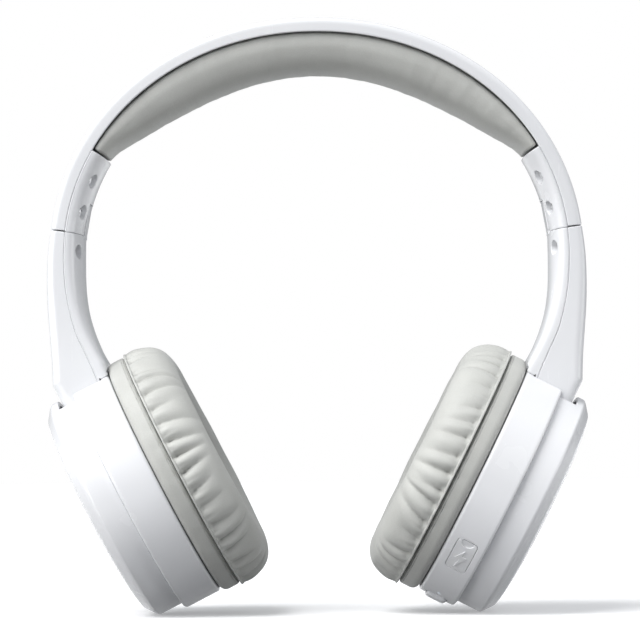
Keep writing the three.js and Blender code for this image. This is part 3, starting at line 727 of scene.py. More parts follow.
def end_cover(side):
    near = SHELL_DEPTH + SEAM

    def section_at(angle):
        half = band_half_width(angle)
        side_arch = arch(near, COVER_DEPTH, half, COVER_ARCH)
        return rounded(side_arch, [0.3] + [0] * (len(side_arch) - 2) + [0.3], 3)

    cover = bent(f"band_end_cover_{side}", section_at, BAND_END - math.radians(0.25), COVER_END, 36)
    seat = COVER_DEPTH - SCREW_RECESS
    tools = []
    for angle in COVER_SCREW_ANGLES:
        for y in (-SCREW_ACROSS, SCREW_ACROSS):
            y *= band_half_width(angle) / BAND_END_HALF_WIDTH
            start, end = band_point(angle, seat, y), band_point(angle, COVER_DEPTH + 3, y)
            tools.append(rod(start, end, SCREW_RECESS_R))
            screw(f"end_cover_screw_{side}", start, end, side, len(tools))
    half = TAB_HALF_WIDTH + GAP
    tools.append(slide_block((TAB_NEAR - GAP, COVER_DEPTH + 4), (-half, half), (-3, TAB_HEIGHT + GAP)))
    half = BLADE_HALF_WIDTH + GAP
    depth = (BLADE_NEAR - GAP, BLADE_FAR + GAP)
    tools.append(slide_block(depth, (-half, half), (-3, BLADE_TOP + GAP)))
    carve(cover, *tools)
    smooth(soften(cover, 0.25))
    place_on(cover, side, "white_plastic", "headband", f"end_cover_{side}")


def screw(name, seat, outside, side, number, body="headband"):
    """A pan-head screw with a cross recess, its head on the seat and facing outside."""
    axis = (Vector(outside) - Vector(seat)).normalized()
    r, head, shank = SCREW_HEAD_R, SCREW_HEAD, SCREW_SHANK_R
    profile = [(-2.2, 0), (-2.2, shank), (0.1, shank), (0.1, r - 0.15), (0.25, r), (0.6, r)]
    profile += [(0.85, r - 0.2), (head, r - 0.75), (head + 0.08, 0)]
    obj = turned(f"{name}_{number}_head", profile, 32)
    slots = [block((0.55, 3), (-0.19, 0.19), (-1, 1)), block((0.55, 3), (-1, 1), (-0.19, 0.19))]
    carve(obj, *slots)
    turn = Vector((1, 0, 0)).rotation_difference(axis).to_matrix().to_4x4()
    spin = Matrix.Rotation(0.7 * number, 4, "X")
    moved(obj, Matrix.Translation(seat) @ turn @ spin)
    smooth(obj, 30)
    place_on(obj, side, "steel", body, f"{name}_{number}")


# ---------------------------------------------------------------- slider and arm


def slider(side):
    """The blade with its detent notches and a row of engraved size marks."""
    notches, pitch, deep = 6, 3, 0.7
    edge = []
    for i in range(notches):
        z = 6 + i * pitch
        edge += [(BLADE_HALF_WIDTH, z), (BLADE_HALF_WIDTH - deep, z + pitch / 4)]
        edge += [(BLADE_HALF_WIDTH, z + pitch / 2)]
    foot_half = BLADE_FOOT_HALF_WIDTH
    right = [(foot_half, BLADE_FOOT_BOTTOM), (foot_half, BLADE_FOOT_TOP)]
    right += [(BLADE_HALF_WIDTH, BLADE_FOOT_TOP), *edge]
    right += [(BLADE_HALF_WIDTH, BLADE_TOP - 1.2), (BLADE_HALF_WIDTH - 1.2, BLADE_TOP)]
    outline = right + [(-y, z) for y, z in reversed(right)]
    ring = rounded(outline, 0.25, 2)
    rings = [[from_slide(depth, z, y) for y, z in ring] for depth in (BLADE_NEAR, BLADE_FAR)]
    blade = skin(f"size_slider_{side}", rings)
    tools = []
    for y in (-SCREW_ACROSS, SCREW_ACROSS):
        ends = [from_slide(d, ARM_SCREW_HEIGHT, y) for d in (BLADE_NEAR - 1, BLADE_FAR + 1)]
        tools.append(rod(*ends, 3.1))
    for i in range(notches):
        z = 6 + i * pitch
        long_mark = 2.4 if i % 2 == 0 else 1.5
        depth = (BLADE_FAR - 0.15, BLADE_FAR + 1)
        tools.append(slide_block(depth, (-long_mark, long_mark), (z, z + 0.5)))
    carve(blade, *tools)
    smooth(soften(blade, 0.12, segments=2))
    place_on(blade, side, "white_plastic", f"arm_{side}", f"slider_{side}")


def flat(v):
    return (v.x, v.z)


# Sections of the arm from its top to its foot: the outer and the inner edge seen from the front,
# and how far between them the seam of its two mouldings lies.
ARM_SECTIONS = [
    (flat(from_slide(0, -0.4)), flat(from_slide(COVER_DEPTH, -0.4)), 0.48),
    ((87.6, 116.5), (75.8, 115.2), 0.49),
    ((87.9, 107.5), (75.7, 106.5), 0.54),
    ((87.7, 99.5), (74.9, 99.2), 0.6),
    ((87.1, 91.5), (73.2, 92.6), 0.64),
    ((86.4, 82.5), (70.8, 86.4), 0.727),
    (flat(from_cup(FOOT_OUTER, FOOT_TOP)), flat(from_cup(FOOT_INNER, FOOT_INNER_TOP)), FOOT_SEAM),
]


def spline(points, share):
    """A smooth curve through the points."""
    last = len(points) - 1
    i = min(int(share * last), last - 1)
    near = (Vector(points[max(0, min(last, i + k))]) for k in (-1, 0, 1, 2))
    return curve(*near, share * last - i)


def arm_station(share):
    """The arm at a share of its length; beyond 1 it goes straight down into the cup."""
    if share > 1:
        down = share - 1
        outer = Vector(flat(from_cup(FOOT_OUTER, lerp(FOOT_TOP, FOOT_BOTTOM, down))))
        inner = Vector(flat(from_cup(FOOT_INNER, lerp(FOOT_INNER_TOP, FOOT_BOTTOM, down))))
        seam = lerp(FOOT_SEAM, FOOT_END_SEAM, down)
        return outer, inner, seam, ARM_FOOT_HALF_WIDTH, ARM_FOOT_ARCH
    outer = spline([s[0] for s in ARM_SECTIONS], share)
    inner = spline([s[1] for s in ARM_SECTIONS], share)
    last = len(ARM_SECTIONS) - 1
    i = min(int(share * last), last - 1)
    seam = lerp(ARM_SECTIONS[i][2], ARM_SECTIONS[i + 1][2], share * last - i)
    half = lerp(BAND_END_HALF_WIDTH, ARM_FOOT_HALF_WIDTH, share)
    return outer, inner, seam, half, lerp(COVER_ARCH, ARM_FOOT_ARCH, share**2)


def arm_ring(share, draw):
    outer, inner, seam, half, power = arm_station(share)
    length = (inner - outer).length
    across = (inner - outer).normalized()
    section = draw(length, length * seam, half, power)
    return [Vector((outer.x + across.x * d, y, outer.y + across.y * d)) for d, y in section]


def shell_part(length, seam, half, power):
    near, split = 0.6, seam - SEAM / 2
    corners = [(split, half), (near, half), (0, 0), (near, -half), (split, -half)]
    return rounded(corners, [0.3, ARM_EDGE_RADIUS + 0.8, 500, ARM_EDGE_RADIUS + 0.8, 0.3], 8)


def cover_part(length, seam, half, power):
    points = arch(seam + SEAM / 2, length, half, power)
    return rounded(points, [0.3] + [0] * (len(points) - 2) + [0.3], 3)


def cup_round():
    """What the arm's foot follows where it lies over the rim of the cup."""
    profile = [(-7, 0), (-7, SKIRT_R + GAP), (0.15, SKIRT_R + GAP), (0.15, HOUSING_R + SEAM)]
    profile += [(NECK_FREE, HOUSING_R + SEAM), (NECK_FREE, 0)]
    return moved(turned("tool", profile, 200), CUP_FRAME)


def neck():
    """The round foot that turns on the pin, its ends rounded like the arm's edges."""
    half, r, edge = ARM_FOOT_HALF_WIDTH, NECK_R, ARM_EDGE_RADIUS + 0.8
    outline = rounded([(-half, 0), (-half, r), (half, r), (half, 0)], [0, edge, edge, 0], 8)
    along_pin = Matrix.Rotation(math.pi / 2, 4, "Z")
    return moved(turned("tool", outline, 96), Matrix.Translation(from_cup(PIVOT_U, PIVOT_W)) @ along_pin)


def arm(side):
    steps, foot_steps = 84, 8
    shares = [i / steps for i in range(steps + 1)]
    down_to = [1 + (i + 1) / foot_steps for i in range(foot_steps)]
    shell = skin(f"arm_outer_{side}", [arm_ring(s, shell_part) for s in shares + down_to])
    combine(shell, "UNION", neck())
    pin_ends = [from_cup(PIVOT_U, PIVOT_W, y) for y in (-25, 25)]
    tools = [cup_round(), rod(*pin_ends, PIN_R + GAP, 24)]
    carve(shell, *tools, *blade_seat())
    smooth(soften(shell, 0.3))
    place_on(shell, side, "white_plastic", f"arm_{side}", f"arm_shell_{side}")

    last = 1 + (FOOT_TOP - COVER_BOTTOM) / (FOOT_TOP - FOOT_BOTTOM)
    down_to = [lerp(1, last, (i + 1) / foot_steps) for i in range(foot_steps)]
    cover = skin(f"arm_inner_{side}", [arm_ring(s, cover_part) for s in shares + down_to])
    tools = [cup_round()]
    seat = COVER_DEPTH - SCREW_RECESS
    for number, y in enumerate((-SCREW_ACROSS, SCREW_ACROSS), 1):
        start = from_slide(seat, ARM_SCREW_HEIGHT, y)
        end = from_slide(COVER_DEPTH + 3, ARM_SCREW_HEIGHT, y)
        tools.append(rod(start, end, SCREW_RECESS_R))
        screw(f"arm_screw_{side}", start, end, side, number, f"arm_{side}")
    carve(cover, *tools, *blade_seat())
    combine(cover, "UNION", size_tab())
    smooth(soften(cover, 0.25))
    place_on(cover, side, "white_plastic", f"arm_{side}", f"arm_cover_{side}")


def blade_seat():
    """Tools for the room that the blade and its foot take up in the arm."""
    far = BLADE_FAR + GAP
    half, foot_half = BLADE_HALF_WIDTH + GAP, BLADE_FOOT_HALF_WIDTH + GAP
    foot = (BLADE_FOOT_BOTTOM - GAP, BLADE_FOOT_TOP + GAP)
    return (
        slide_block((BLADE_NEAR - GAP, far), (-half, half), (-5, 1)),
        slide_block((4.6, far), (-foot_half, foot_half), foot),
    )


def size_tab():
    """The tongue of the arm that shows in the end cover's window."""
    corners = [(COVER_DEPTH - 0.1, -2), (TAB_NEAR, -2), (TAB_NEAR, TAB_HEIGHT)]
    corners += [(COVER_DEPTH + 0.5, TAB_HEIGHT)]
    outline = rounded(corners, [0, 0, 0.3, 0.5], 4)
    rings = [[from_slide(d, z, y) for d, z in outline] for y in (-TAB_HALF_WIDTH, TAB_HALF_WIDTH)]
    return skin("tool", rings)


def tilt_pin(side):
    profile = [(-17.9, 0), (-17.9, PIN_R - 0.3), (-17.6, PIN_R), (17.6, PIN_R)]
    profile += [(17.9, PIN_R - 0.3), (17.9, 0)]
    pin = turned(f"pivot_pin_{side}", profile, 32)
    moved(pin, Matrix.Translation(from_cup(PIVOT_U, PIVOT_W)) @ Matrix.Rotation(math.pi / 2, 4, "Z"))
    smooth(pin)
    place_on(pin, side, "steel", f"arm_{side}", f"tilt_pin_{side}")


# ---------------------------------------------------------------- hard parts of the cup


def rim_block(angle, x, y, z):
    return moved(block(x, y, z), on_rim(angle))


def rectangle(width, length):
    a, b = width / 2, length / 2
    return [(a, b), (-a, b), (-a, -b), (a, -b)]


def raised(outline, angle, u, start, end):
    """A body with an outline that stands out of the rim."""
    rings = [[(u + x, y, z) for x, y in outline] for z in (start, end)]
    return moved(skin("tool", rings), on_rim(angle))


def rim_bar(angle, length, width, start, end, radius=1.6, u=KEY_U):
    """A bar with rounded corners that stands out of the rim, its length along the rim."""
    return raised(rounded(rectangle(width, length), radius, 6), angle, u, start, end)


def key_angle(number):
    return (number - 1) * KEY_STEP


def housing(side):
    r, front, back = HOUSING_R, HOUSING_FRONT, HOUSING_BACK
    flange = r - 3.9
    corners = [(front, SKIRT_INNER_R), (front, r), (back, r), (back, flange)]
    corners += [(back - WALL, flange), (back - WALL, r - WALL), (front + WALL, r - WALL)]
    corners += [(front + WALL, SKIRT_INNER_R)]
    ring = turned(f"cup_housing_{side}", rounded(corners, [0.2, 1.3, 1.1, 0.2, 0, 0.4, 0.4, 0.2], 6))
    half = ARM_FOOT_HALF_WIDTH + GAP
    carve(ring, block((NECK_FREE - GAP, 30), (-half, half), (20, 60)))
    for s in (-1, 1):
        near, far, top = front + 2, back - 0.5, r - 0.6
        lug = turned("tool", [(near, 20), (far, 20), (far, top), (near, top)])
        across = sorted((s * half, s * (half + 3)))
        combine(lug, "INTERSECT", block((0, 20), across, (27, r)))
        combine(ring, "UNION", lug)
    tools = [rod((PIVOT_U, -half - 3.5, PIVOT_W), (PIVOT_U, half + 3.5, PIVOT_W), PIN_R + GAP, 24)]
    if side == "right":
        tools += control_openings()
        carve(combine(ring, "UNION", port_pad()), *tools)
    else:
        carve(ring, *tools)
    smooth(soften(ring, 0.2))
    place_in_cup(ring, side, "white_plastic", f"housing_{side}")


def port_pad():
    """The thicker wall behind the charging port's flap."""
    r = HOUSING_R
    across, along = FLAP_WIDTH / 2, FLAP_LENGTH / 2
    u0 = FLAP_U - across - 2
    u1, inner, outer = HOUSING_BACK, r - 2.2, r - 0.8
    pad = turned("tool", [(u0, inner), (u1, inner), (u1, outer), (u0, outer)])
    x = (FLAP_U - across - 1, HOUSING_BACK - 0.5)
    return combine(pad, "INTERSECT", rim_block(FLAP_ANGLE, x, (-along - 1.5, along + 1.5), (30, 45)))


def control_openings():
    """Tools for the flap's recess, the port, the keys' openings and the lamp's hole."""
    floor = HOUSING_R - FLAP_THICKNESS - 0.4
    recess = turned("tool", [(0, floor), (HOUSING_BACK, floor), (HOUSING_BACK, 44), (0, 44)])
    bar = rim_bar(FLAP_ANGLE, FLAP_LENGTH + 2 * GAP, FLAP_WIDTH + 2 * GAP, 30, 45, 1.3, FLAP_U)
    combine(recess, "INTERSECT", bar)
    tools = [recess, thumb_notch(), rim_bar(FLAP_ANGLE, 8.4, 3.4, 36, 42, 1.2, FLAP_U)]
    for number in range(3):
        size = (KEY_LENGTH + 2 * GAP, KEY_WIDTH + 2 * GAP)
        tools.append(rim_bar(key_angle(number), *size, KEY_INNER - 1, KEY_OUTER + 1, 1.9))
    lamp = [on_rim(LAMP_ANGLE) @ Vector((KEY_U, 0, z)) for z in (36, 42)]
    tools.append(rod(*lamp, LAMP_R + 0.15, 24))
    return tools


def back_cover(side):
    r, front, edge = BACK_R, HOUSING_BACK + 0.05, BACK_EDGE
    seat = TRIM_R + 0.35
    corners = [
        (TRIM_FACE - 2.8, 0),
        (TRIM_FACE - 2.8, seat),
        (25.7, seat),
        (25.4, 31.5),
        (24.8, 34.6),
        (edge + 1, r - 1),
        (edge, r),
        (front, r),
        (front, r - WALL),
        (edge - 0.6, r - WALL),
        (22.9, 33.6),
        (22.9, 0),
    ]
    radii = [0, 0.2, 0.5, 4, 2.2, 1.6, 1.3, 0, 0, 0.8, 0.8, 0]
    cover = turned(f"cup_back_{side}", rounded(corners, radii, 6))
    half = ARM_FOOT_HALF_WIDTH + GAP
    reach = FOOT_OUTER + GAP + (r - PIVOT_W) * math.sin(TILT)
    carve(cover, block((front - 1, reach), (-half, half), (20, 60)))
    smooth(soften(cover, 0.3))
    place_in_cup(cover, side, "white_plastic", f"back_cover_{side}")


def trim_cap(side):
    """The disc on the back, with a fine groove round its flat middle."""
    r, face = TRIM_R, TRIM_FACE
    profile = [(face - 2.4, 0), (face - 2.4, r - 0.1), (face - 2.3, r), (face - 1.6, r)]
    profile += [(face - 1.35, r - 0.1), (face - 1.15, r - 0.4), (face - 1.05, r - 0.8)]
    rim = 4
    for i in range(rim + 1):
        share = i / rim
        profile.append((face - lerp(0.98, 0.42, share), lerp(r - 1.6, 18, share)))
    profile += [(face - 0.4, 17.3), (face - 0.62, 17.1), (face - 0.62, 16.7), (face - 0.36, 16.5)]
    profile += [(face - 0.12, 13), (face, 10), (face, 9.6), (face, 4), (face, 0)]
    cap = turned(f"cup_trim_{side}", profile)
    smooth(cap, 50)
    place_in_cup(cap, side, "white_plastic", f"trim_cap_{side}")


def port_flap():
    """The soft cover of the charging port, with a thumb notch and a raised bolt sign."""
    inner, outer = HOUSING_R - FLAP_THICKNESS, HOUSING_R
    profile = [(0, inner), (HOUSING_BACK, inner), (HOUSING_BACK, outer), (0, outer)]
    flap = turned("charging_flap", profile, 512)
    spare = 2 * (GAP - SEAM)
    bar = rim_bar(FLAP_ANGLE, FLAP_LENGTH + spare, FLAP_WIDTH + spare, 30, 45, 1.2, FLAP_U)
    carve(combine(flap, "INTERSECT", bar), thumb_notch())
    soften(flap, 0.08, segments=2)
    smooth(combine(flap, "UNION", bolt_sign(outer - 0.6, outer + 0.2)))
    place_in_cup(flap, "right", "white_rubber", "usb_flap", "flap")


def thumb_notch():
    """A tool for the notch over the flap's upper end, half in it and half in the housing."""
    levels = (HOUSING_R - THUMB_DEPTH, HOUSING_R + 2)
    ends = (on_rim(FLAP_ANGLE) @ Vector((FLAP_U, FLAP_LENGTH / 2, z)) for z in levels)
    return rod(*ends, THUMB_R, 48)


def bolt_sign(start, end):
    """A plain lightning bolt, the usual sign for charging."""
    bolt = [(0.5, 2.6), (-1.9, -1.2), (-0.2, -1.2), (-0.7, -4.6), (1.9, 0.1), (0.2, 0.1)]
    return raised(bolt, FLAP_ANGLE, FLAP_U, start, end)


def key_signs(number):
    """Raised minus, play and plus signs, one for each key."""
    start, end, thin = KEY_OUTER - 0.5, KEY_OUTER + 0.02, 0.3
    bar = rectangle(2 * thin, 2.2)
    upright = [(y, x) for x, y in bar]
    play = [(-1.1, -0.9), (1.1, -0.9), (0, 1.1)]
    shapes = [[bar], [play], [bar, upright]][number]
    return [raised(shape, key_angle(number), KEY_U, start, end) for shape in shapes]


def keys():
    names = ("volume_down", "play", "volume_up")
    for number, name in enumerate(names):
        angle = key_angle(number)
        rings = []
        top = KEY_OUTER - 0.02
        levels = [(0, KEY_INNER), (0, top - 0.9), (-0.1, top - 0.5), (-0.3, top - 0.25)]
        levels += [(-0.7, top - 0.07), (-1.3, top)]
        for grow, z in levels:
            size = (KEY_WIDTH + 2 * grow, KEY_LENGTH + 2 * grow)
            ring = rounded(rectangle(*size), 1.6 + grow * 0.4, 8)
            rings.append([(KEY_U + x, y, z) for x, y in ring])
        key = moved(skin(f"button_cap_{name}", rings), on_rim(angle))
        combine(key, "UNION", *key_signs(number))
        smooth(key, 34)
        place_in_cup(key, "right", "white_plastic", f"key_{name}", f"button_{name}")


def status_lamp():
    profile = [(37.4, 0), (37.4, LAMP_R)]
    profile += [(40.3, LAMP_R), (40.5, LAMP_R * 0.8), (40.58, LAMP_R * 0.45), (40.6, 0)]
    lamp = turned("lamp_lens", profile, 32)
    stand = Matrix.Rotation(-math.pi / 2, 4, "Y")
    moved(lamp, on_rim(LAMP_ANGLE) @ Matrix.Translation((KEY_U, 0, 0)) @ stand)
    smooth(lamp)
    place_in_cup(lamp, "right", "clear_film", "status_lamp")


def usb_port():
    """The socket behind the flap, with its tongue."""
    port = rim_bar(FLAP_ANGLE, 7.8, 2.8, 32.5, 38, 1.0, FLAP_U)
    port.name = "charging_port"
    carve(port, rim_bar(FLAP_ANGLE, 6.8, 1.8, 33, 39, 0.7, FLAP_U))
    combine(port, "UNION", rim_bar(FLAP_ANGLE, 4.6, 0.6, 32.8, 37.2, 0.1, FLAP_U - 0.2))
    smooth(soften(port, 0.06, segments=2))
    place_in_cup(port, "right", "steel", "usb_port")


# ---------------------------------------------------------------- soft parts

CUSHION_PROFILE = [
    (-6.7, 40.3),
    (-7.3, 41.3),
    (-9.7, 41.7),
    (-13, 40.9),
    (-16, 39.4),
    (-18.2, 36.9),
    (-19.3, 33.9),
    (-19.6, 31.4),
    (-19.1, 27.9),
    (-17.3, 24.9),
    (-13, 22.8),
    (-8, 23.4),
    (-5.75, 25.2),
]

HELD_FROM = -6.9  # the cushion is held to the skirt beyond this u
CUSHION_SEEDS = {"right": 11, "left": 29}


def resample(points, count, axis, periodic=True):
    """The grid's points spread along one axis by a smooth curve."""
    size = points.shape[axis]
    at = np.arange(count) * (size if periodic else size - 1) / (count if periodic else count - 1)
    i = np.floor(at).astype(int)
    t = (at - i).reshape([-1 if k == axis else 1 for k in range(3)])

    def pick(offset):
        index = (i + offset) % size if periodic else np.clip(i + offset, 0, size - 1)
        return np.take(points, index, axis)

    return curve(*(pick(k) for k in (-1, 0, 1, 2)), t)


def revolved(profile, around):
    """A grid of a profile turned about the cup's axis, and the angle of each of its rows."""
    turns = np.linspace(0, 2 * math.pi, around, endpoint=False)[:, None]
    u = np.broadcast_to(profile[None, :, 0], (around, len(profile)))
    return np.stack([u, profile[:, 1] * np.sin(turns), profile[:, 1] * np.cos(turns)], axis=2), turns


def grid_object(name, points, closed=True):
    rings = [[tuple(p) for p in row] for row in points]
    return skin(name, rings, closed)


def grid_normals(points):
    """Unit normals of a grid that closes on itself both ways, pointing out of the body."""
    around = np.roll(points, -1, 0) - np.roll(points, 1, 0)
    along = np.roll(points, -1, 1) - np.roll(points, 1, 1)
    normals = np.cross(around, along)
    normals /= np.linalg.norm(normals, axis=2, keepdims=True) + 1e-12
    middle = points.mean(axis=1, keepdims=True)
    outward = ((points - middle) * normals).sum()
    return normals if outward > 0 else -normals


def inflate(points, held, pressure, limit, closed=True):
    """Cloth under pressure: the grid's points after it has swelled, none moved beyond the limit.

    It is simulated at ten times its size, where the solver is steady.
    """
    enlarge = 10
    cloth_object = grid_object("cloth", points * enlarge, closed)
    group = cloth_object.vertex_groups.new(name="held")
    group.add([int(i) for i in np.flatnonzero(held.reshape(-1))], 1.0, "ADD")
    cloth = cloth_object.modifiers.new("cloth", "CLOTH")
    settings = {"quality": 5, "mass": 0.3, "vertex_group_mass": "held"}
    settings |= {"tension_stiffness": 12, "compression_stiffness": 12}
    settings |= {"shear_stiffness": 5, "bending_stiffness": 0.4}
    settings |= {"use_pressure": True, "uniform_pressure_force": pressure}
    for key, value in settings.items():
        setattr(cloth.settings, key, value)
    cloth.settings.effector_weights.gravity = 0
    cloth.collision_settings.use_collision = False
    for step in range(1, 21):
        bpy.context.scene.frame_set(step)
    evaluated = cloth_object.evaluated_get(bpy.context.evaluated_depsgraph_get())
    swollen = np.zeros(points.size)
    evaluated.data.vertices.foreach_get("co", swollen)
    swollen = swollen.reshape(points.shape) / MM / enlarge
    bpy.data.objects.remove(cloth_object)
    bpy.context.scene.frame_set(1)
    step = swollen - points
    length = np.linalg.norm(step, axis=2, keepdims=True)
    return points + step * np.minimum(1, limit / np.maximum(length, 1e-9))


def ripple(seed, angles, waves, size):
    """A smooth random wave round a circle, from about -size to size."""
    chance = random.Random(seed)
    total = np.zeros_like(angles)
    for k in waves:
        total += chance.uniform(0.4, 1) * np.sin(k * angles + chance.uniform(0, 2 * math.pi))
    return size * total / len(waves)


def gathers(seed, angles, distance, count, depth, length, sharp=0.55):
    """How deep gathered leather sinks: creases at odd intervals, rounded folds between them.

    distance is measured from the seam, where the folds are held, and a sharp of 1 is a soft wave.
    """
    chance = random.Random(seed)
    creases = np.array([(k + chance.uniform(-0.3, 0.3)) * 2 * math.pi / count for k in range(count)])
    deep = np.array([depth * chance.uniform(0.6, 1.15) for k in range(count)])
    reach = np.array([length * chance.uniform(0.6, 1.2) for k in range(count)])
    lean = ripple(seed + 50, angles, (2, 5, 9), 0.012) * distance
    turn = (angles + lean - creases[0]) % (2 * math.pi) + creases[0]
    before = np.searchsorted(creases, turn, side="right") - 1
    after = (before + 1) % count
    gap = (creases[after] - creases[before]) % (2 * math.pi)
    across = np.clip((turn - creases[before]) / gap, 0, 1)

    def strength(k):
        run = np.clip(distance / reach[k], 0, 1)
        return deep[k] * (1 - run**1.5) ** 2

    held = np.clip(distance / 1.8, 0.1, 1)
    blunt = sharp + 0.8 * np.clip(distance / length, 0, 1)
    fold = 1 - np.sin(np.pi * across) ** blunt
    return fold * held * lerp(strength(before), strength(after), across)


def ear_cushion(side):
    """A stuffed leather ring: swelled as cloth, then gathered along its two seams."""
    around, along = 120, 30
    closed_profile = np.array(CUSHION_PROFILE, float)[None, :, :]
    profile = resample(np.concatenate([closed_profile] * 2, 0), along, 1)[0]
    grid, _ = revolved(profile, around)
    held = np.broadcast_to(profile[None, :, 0] > HELD_FROM, (around, along))
    grid = inflate(grid, held, 3.0, 0.35)
    fine = resample(resample(grid, 540, 0), 110, 1)
    normals = grid_normals(fine)
    angles = np.arctan2(fine[:, :, 1], fine[:, :, 2])
    steps = np.linalg.norm(np.diff(fine, axis=1), axis=2)
    travelled = np.concatenate([np.zeros((len(fine), 1)), np.cumsum(steps, axis=1)], axis=1)
    whole = travelled[:, -1:]
    radius = np.hypot(fine[:, :, 1], fine[:, :, 2])

    def distance_from(column):
        straight = np.abs(travelled - travelled[:, column : column + 1])
        return np.minimum(straight, whole - straight)

    outer = distance_from(np.argmax(np.where(fine[0, :, 0] > HELD_FROM, radius[0], 0)))
    on_outside = radius > 31.4
    seed = CUSHION_SEEDS[side]
    strong = 1 + ripple(seed + 4, angles, (1, 2, 3, 5), 0.4)
    folds = gathers(seed, angles, outer, 42, 2.6, 17) * on_outside * strong
    folds += gathers(seed + 1, angles, outer, 97, 0.6, 7, 0.4) * on_outside
    inner = distance_from(np.argmin(np.where(fine[0, :, 0] > -5.9, radius[0], 99)))
    folds += gathers(seed + 2, angles, inner, 30, 1.2, 11) * ~on_outside
    lumps = ripple(seed + 3, angles, (3, 5, 8, 13), 0.25) * np.clip(-fine[:, :, 0] - 9, 0, 6) / 6
    shaped = fine - normals * (folds - 0.5 - lumps)[:, :, None]
    floor = SKIRT_FRONT - 0.22 - SEAM_STEP * np.clip((radius - SKIRT_INNER_R) / 6, 0, 1)
    shaped[:, :, 0] = np.minimum(shaped[:, :, 0], floor)
    cushion = grid_object(f"ear_pad_{side}", shaped)
    cushion.data.shade_smooth()
    place_in_cup(cushion, side, "soft_leather", f"ear_cushion_{side}")


def cushion_skirt(side):
    """The leather band that is stretched over the baffle's rim and sewn to the cushion."""
    r = SKIRT_R
    corners = [(0.1, SKIRT_INNER_R), (0.1, r - 0.1)]
    corners += [(SKIRT_FRONT - SEAM_STEP, r - 0.1), (SKIRT_FRONT, SKIRT_INNER_R)]
    profile = np.array(rounded(corners, [0.3, 2.8, 1.1, 0.3], 14), float)
    grid, turns = revolved(resample(profile[None], 120, 1)[0], 600)
    radius = np.hypot(grid[:, :, 1], grid[:, :, 2])
    normals = grid_normals(grid)
    seed = CUSHION_SEEDS[side]
    outside = np.clip((radius - (r - 3)) / 2, 0, 1)
    from_seam = np.clip(grid[:, :, 0] - SKIRT_FRONT + SEAM_STEP, 0, 7)
    folds = gathers(seed, turns, from_seam + 0.8, 42, 0.45, 4)
    folds += gathers(seed + 5, turns, from_seam + 0.8, 150, 0.14, 2.5)
    waves = ripple(seed + 6, turns, (4, 7, 11, 19, 31), 0.14) + 0.12
    shaped = grid - normals * ((folds + waves) * outside)[:, :, None]
    skirt = grid_object(f"ear_pad_band_{side}", shaped)
    skirt.data.shade_smooth()
    place_in_cup(skirt, side, "soft_leather", f"cushion_skirt_{side}")


def scrim(side):
    """Cloth stretched over the baffle, with a shallow dip over the driver and its openings."""
    radius, around, rings = 32.4, 96, 40
    points, faces = [(-5.28, 0, 0)], []
    for k in range(1, rings + 1):
        r = radius * k / rings
        for i in range(around):
            turn = 2 * math.pi * i / around
            dip = 0.16 * math.cos(math.pi * r / radius * 3) * math.cos(math.pi * r / radius / 2)
            dip += 0.02 * math.sin(12 * turn) * (r / radius) ** 3
            points.append((-5.12 - dip * 0.6, r * math.sin(turn), r * math.cos(turn)))
    for i in range(around):
        j = (i + 1) % around
        faces.append((0, 1 + i, 1 + j))
        for k in range(rings - 1):
            a, b = 1 + k * around, 1 + (k + 1) * around
            faces.append((a + i, b + i, b + j, a + j))
    cloth = new_object(f"ear_scrim_{side}", points, faces)
    thick = cloth.modifiers.new("thick", "SOLIDIFY")
    thick.thickness = 0.15 * MM
    thick.offset = 0
    apply_modifiers(cloth)
    cloth.data.shade_smooth()
    place_in_cup(cloth, side, "scrim_cloth", f"scrim_{side}")


PAD_SECTION = [(-0.04, 11.9), (0.0, 12.7), (0.12, 13.25), (0.4, 13.05), (0.75, 11.0), (0.94, 6.6), (1.0, 0)]


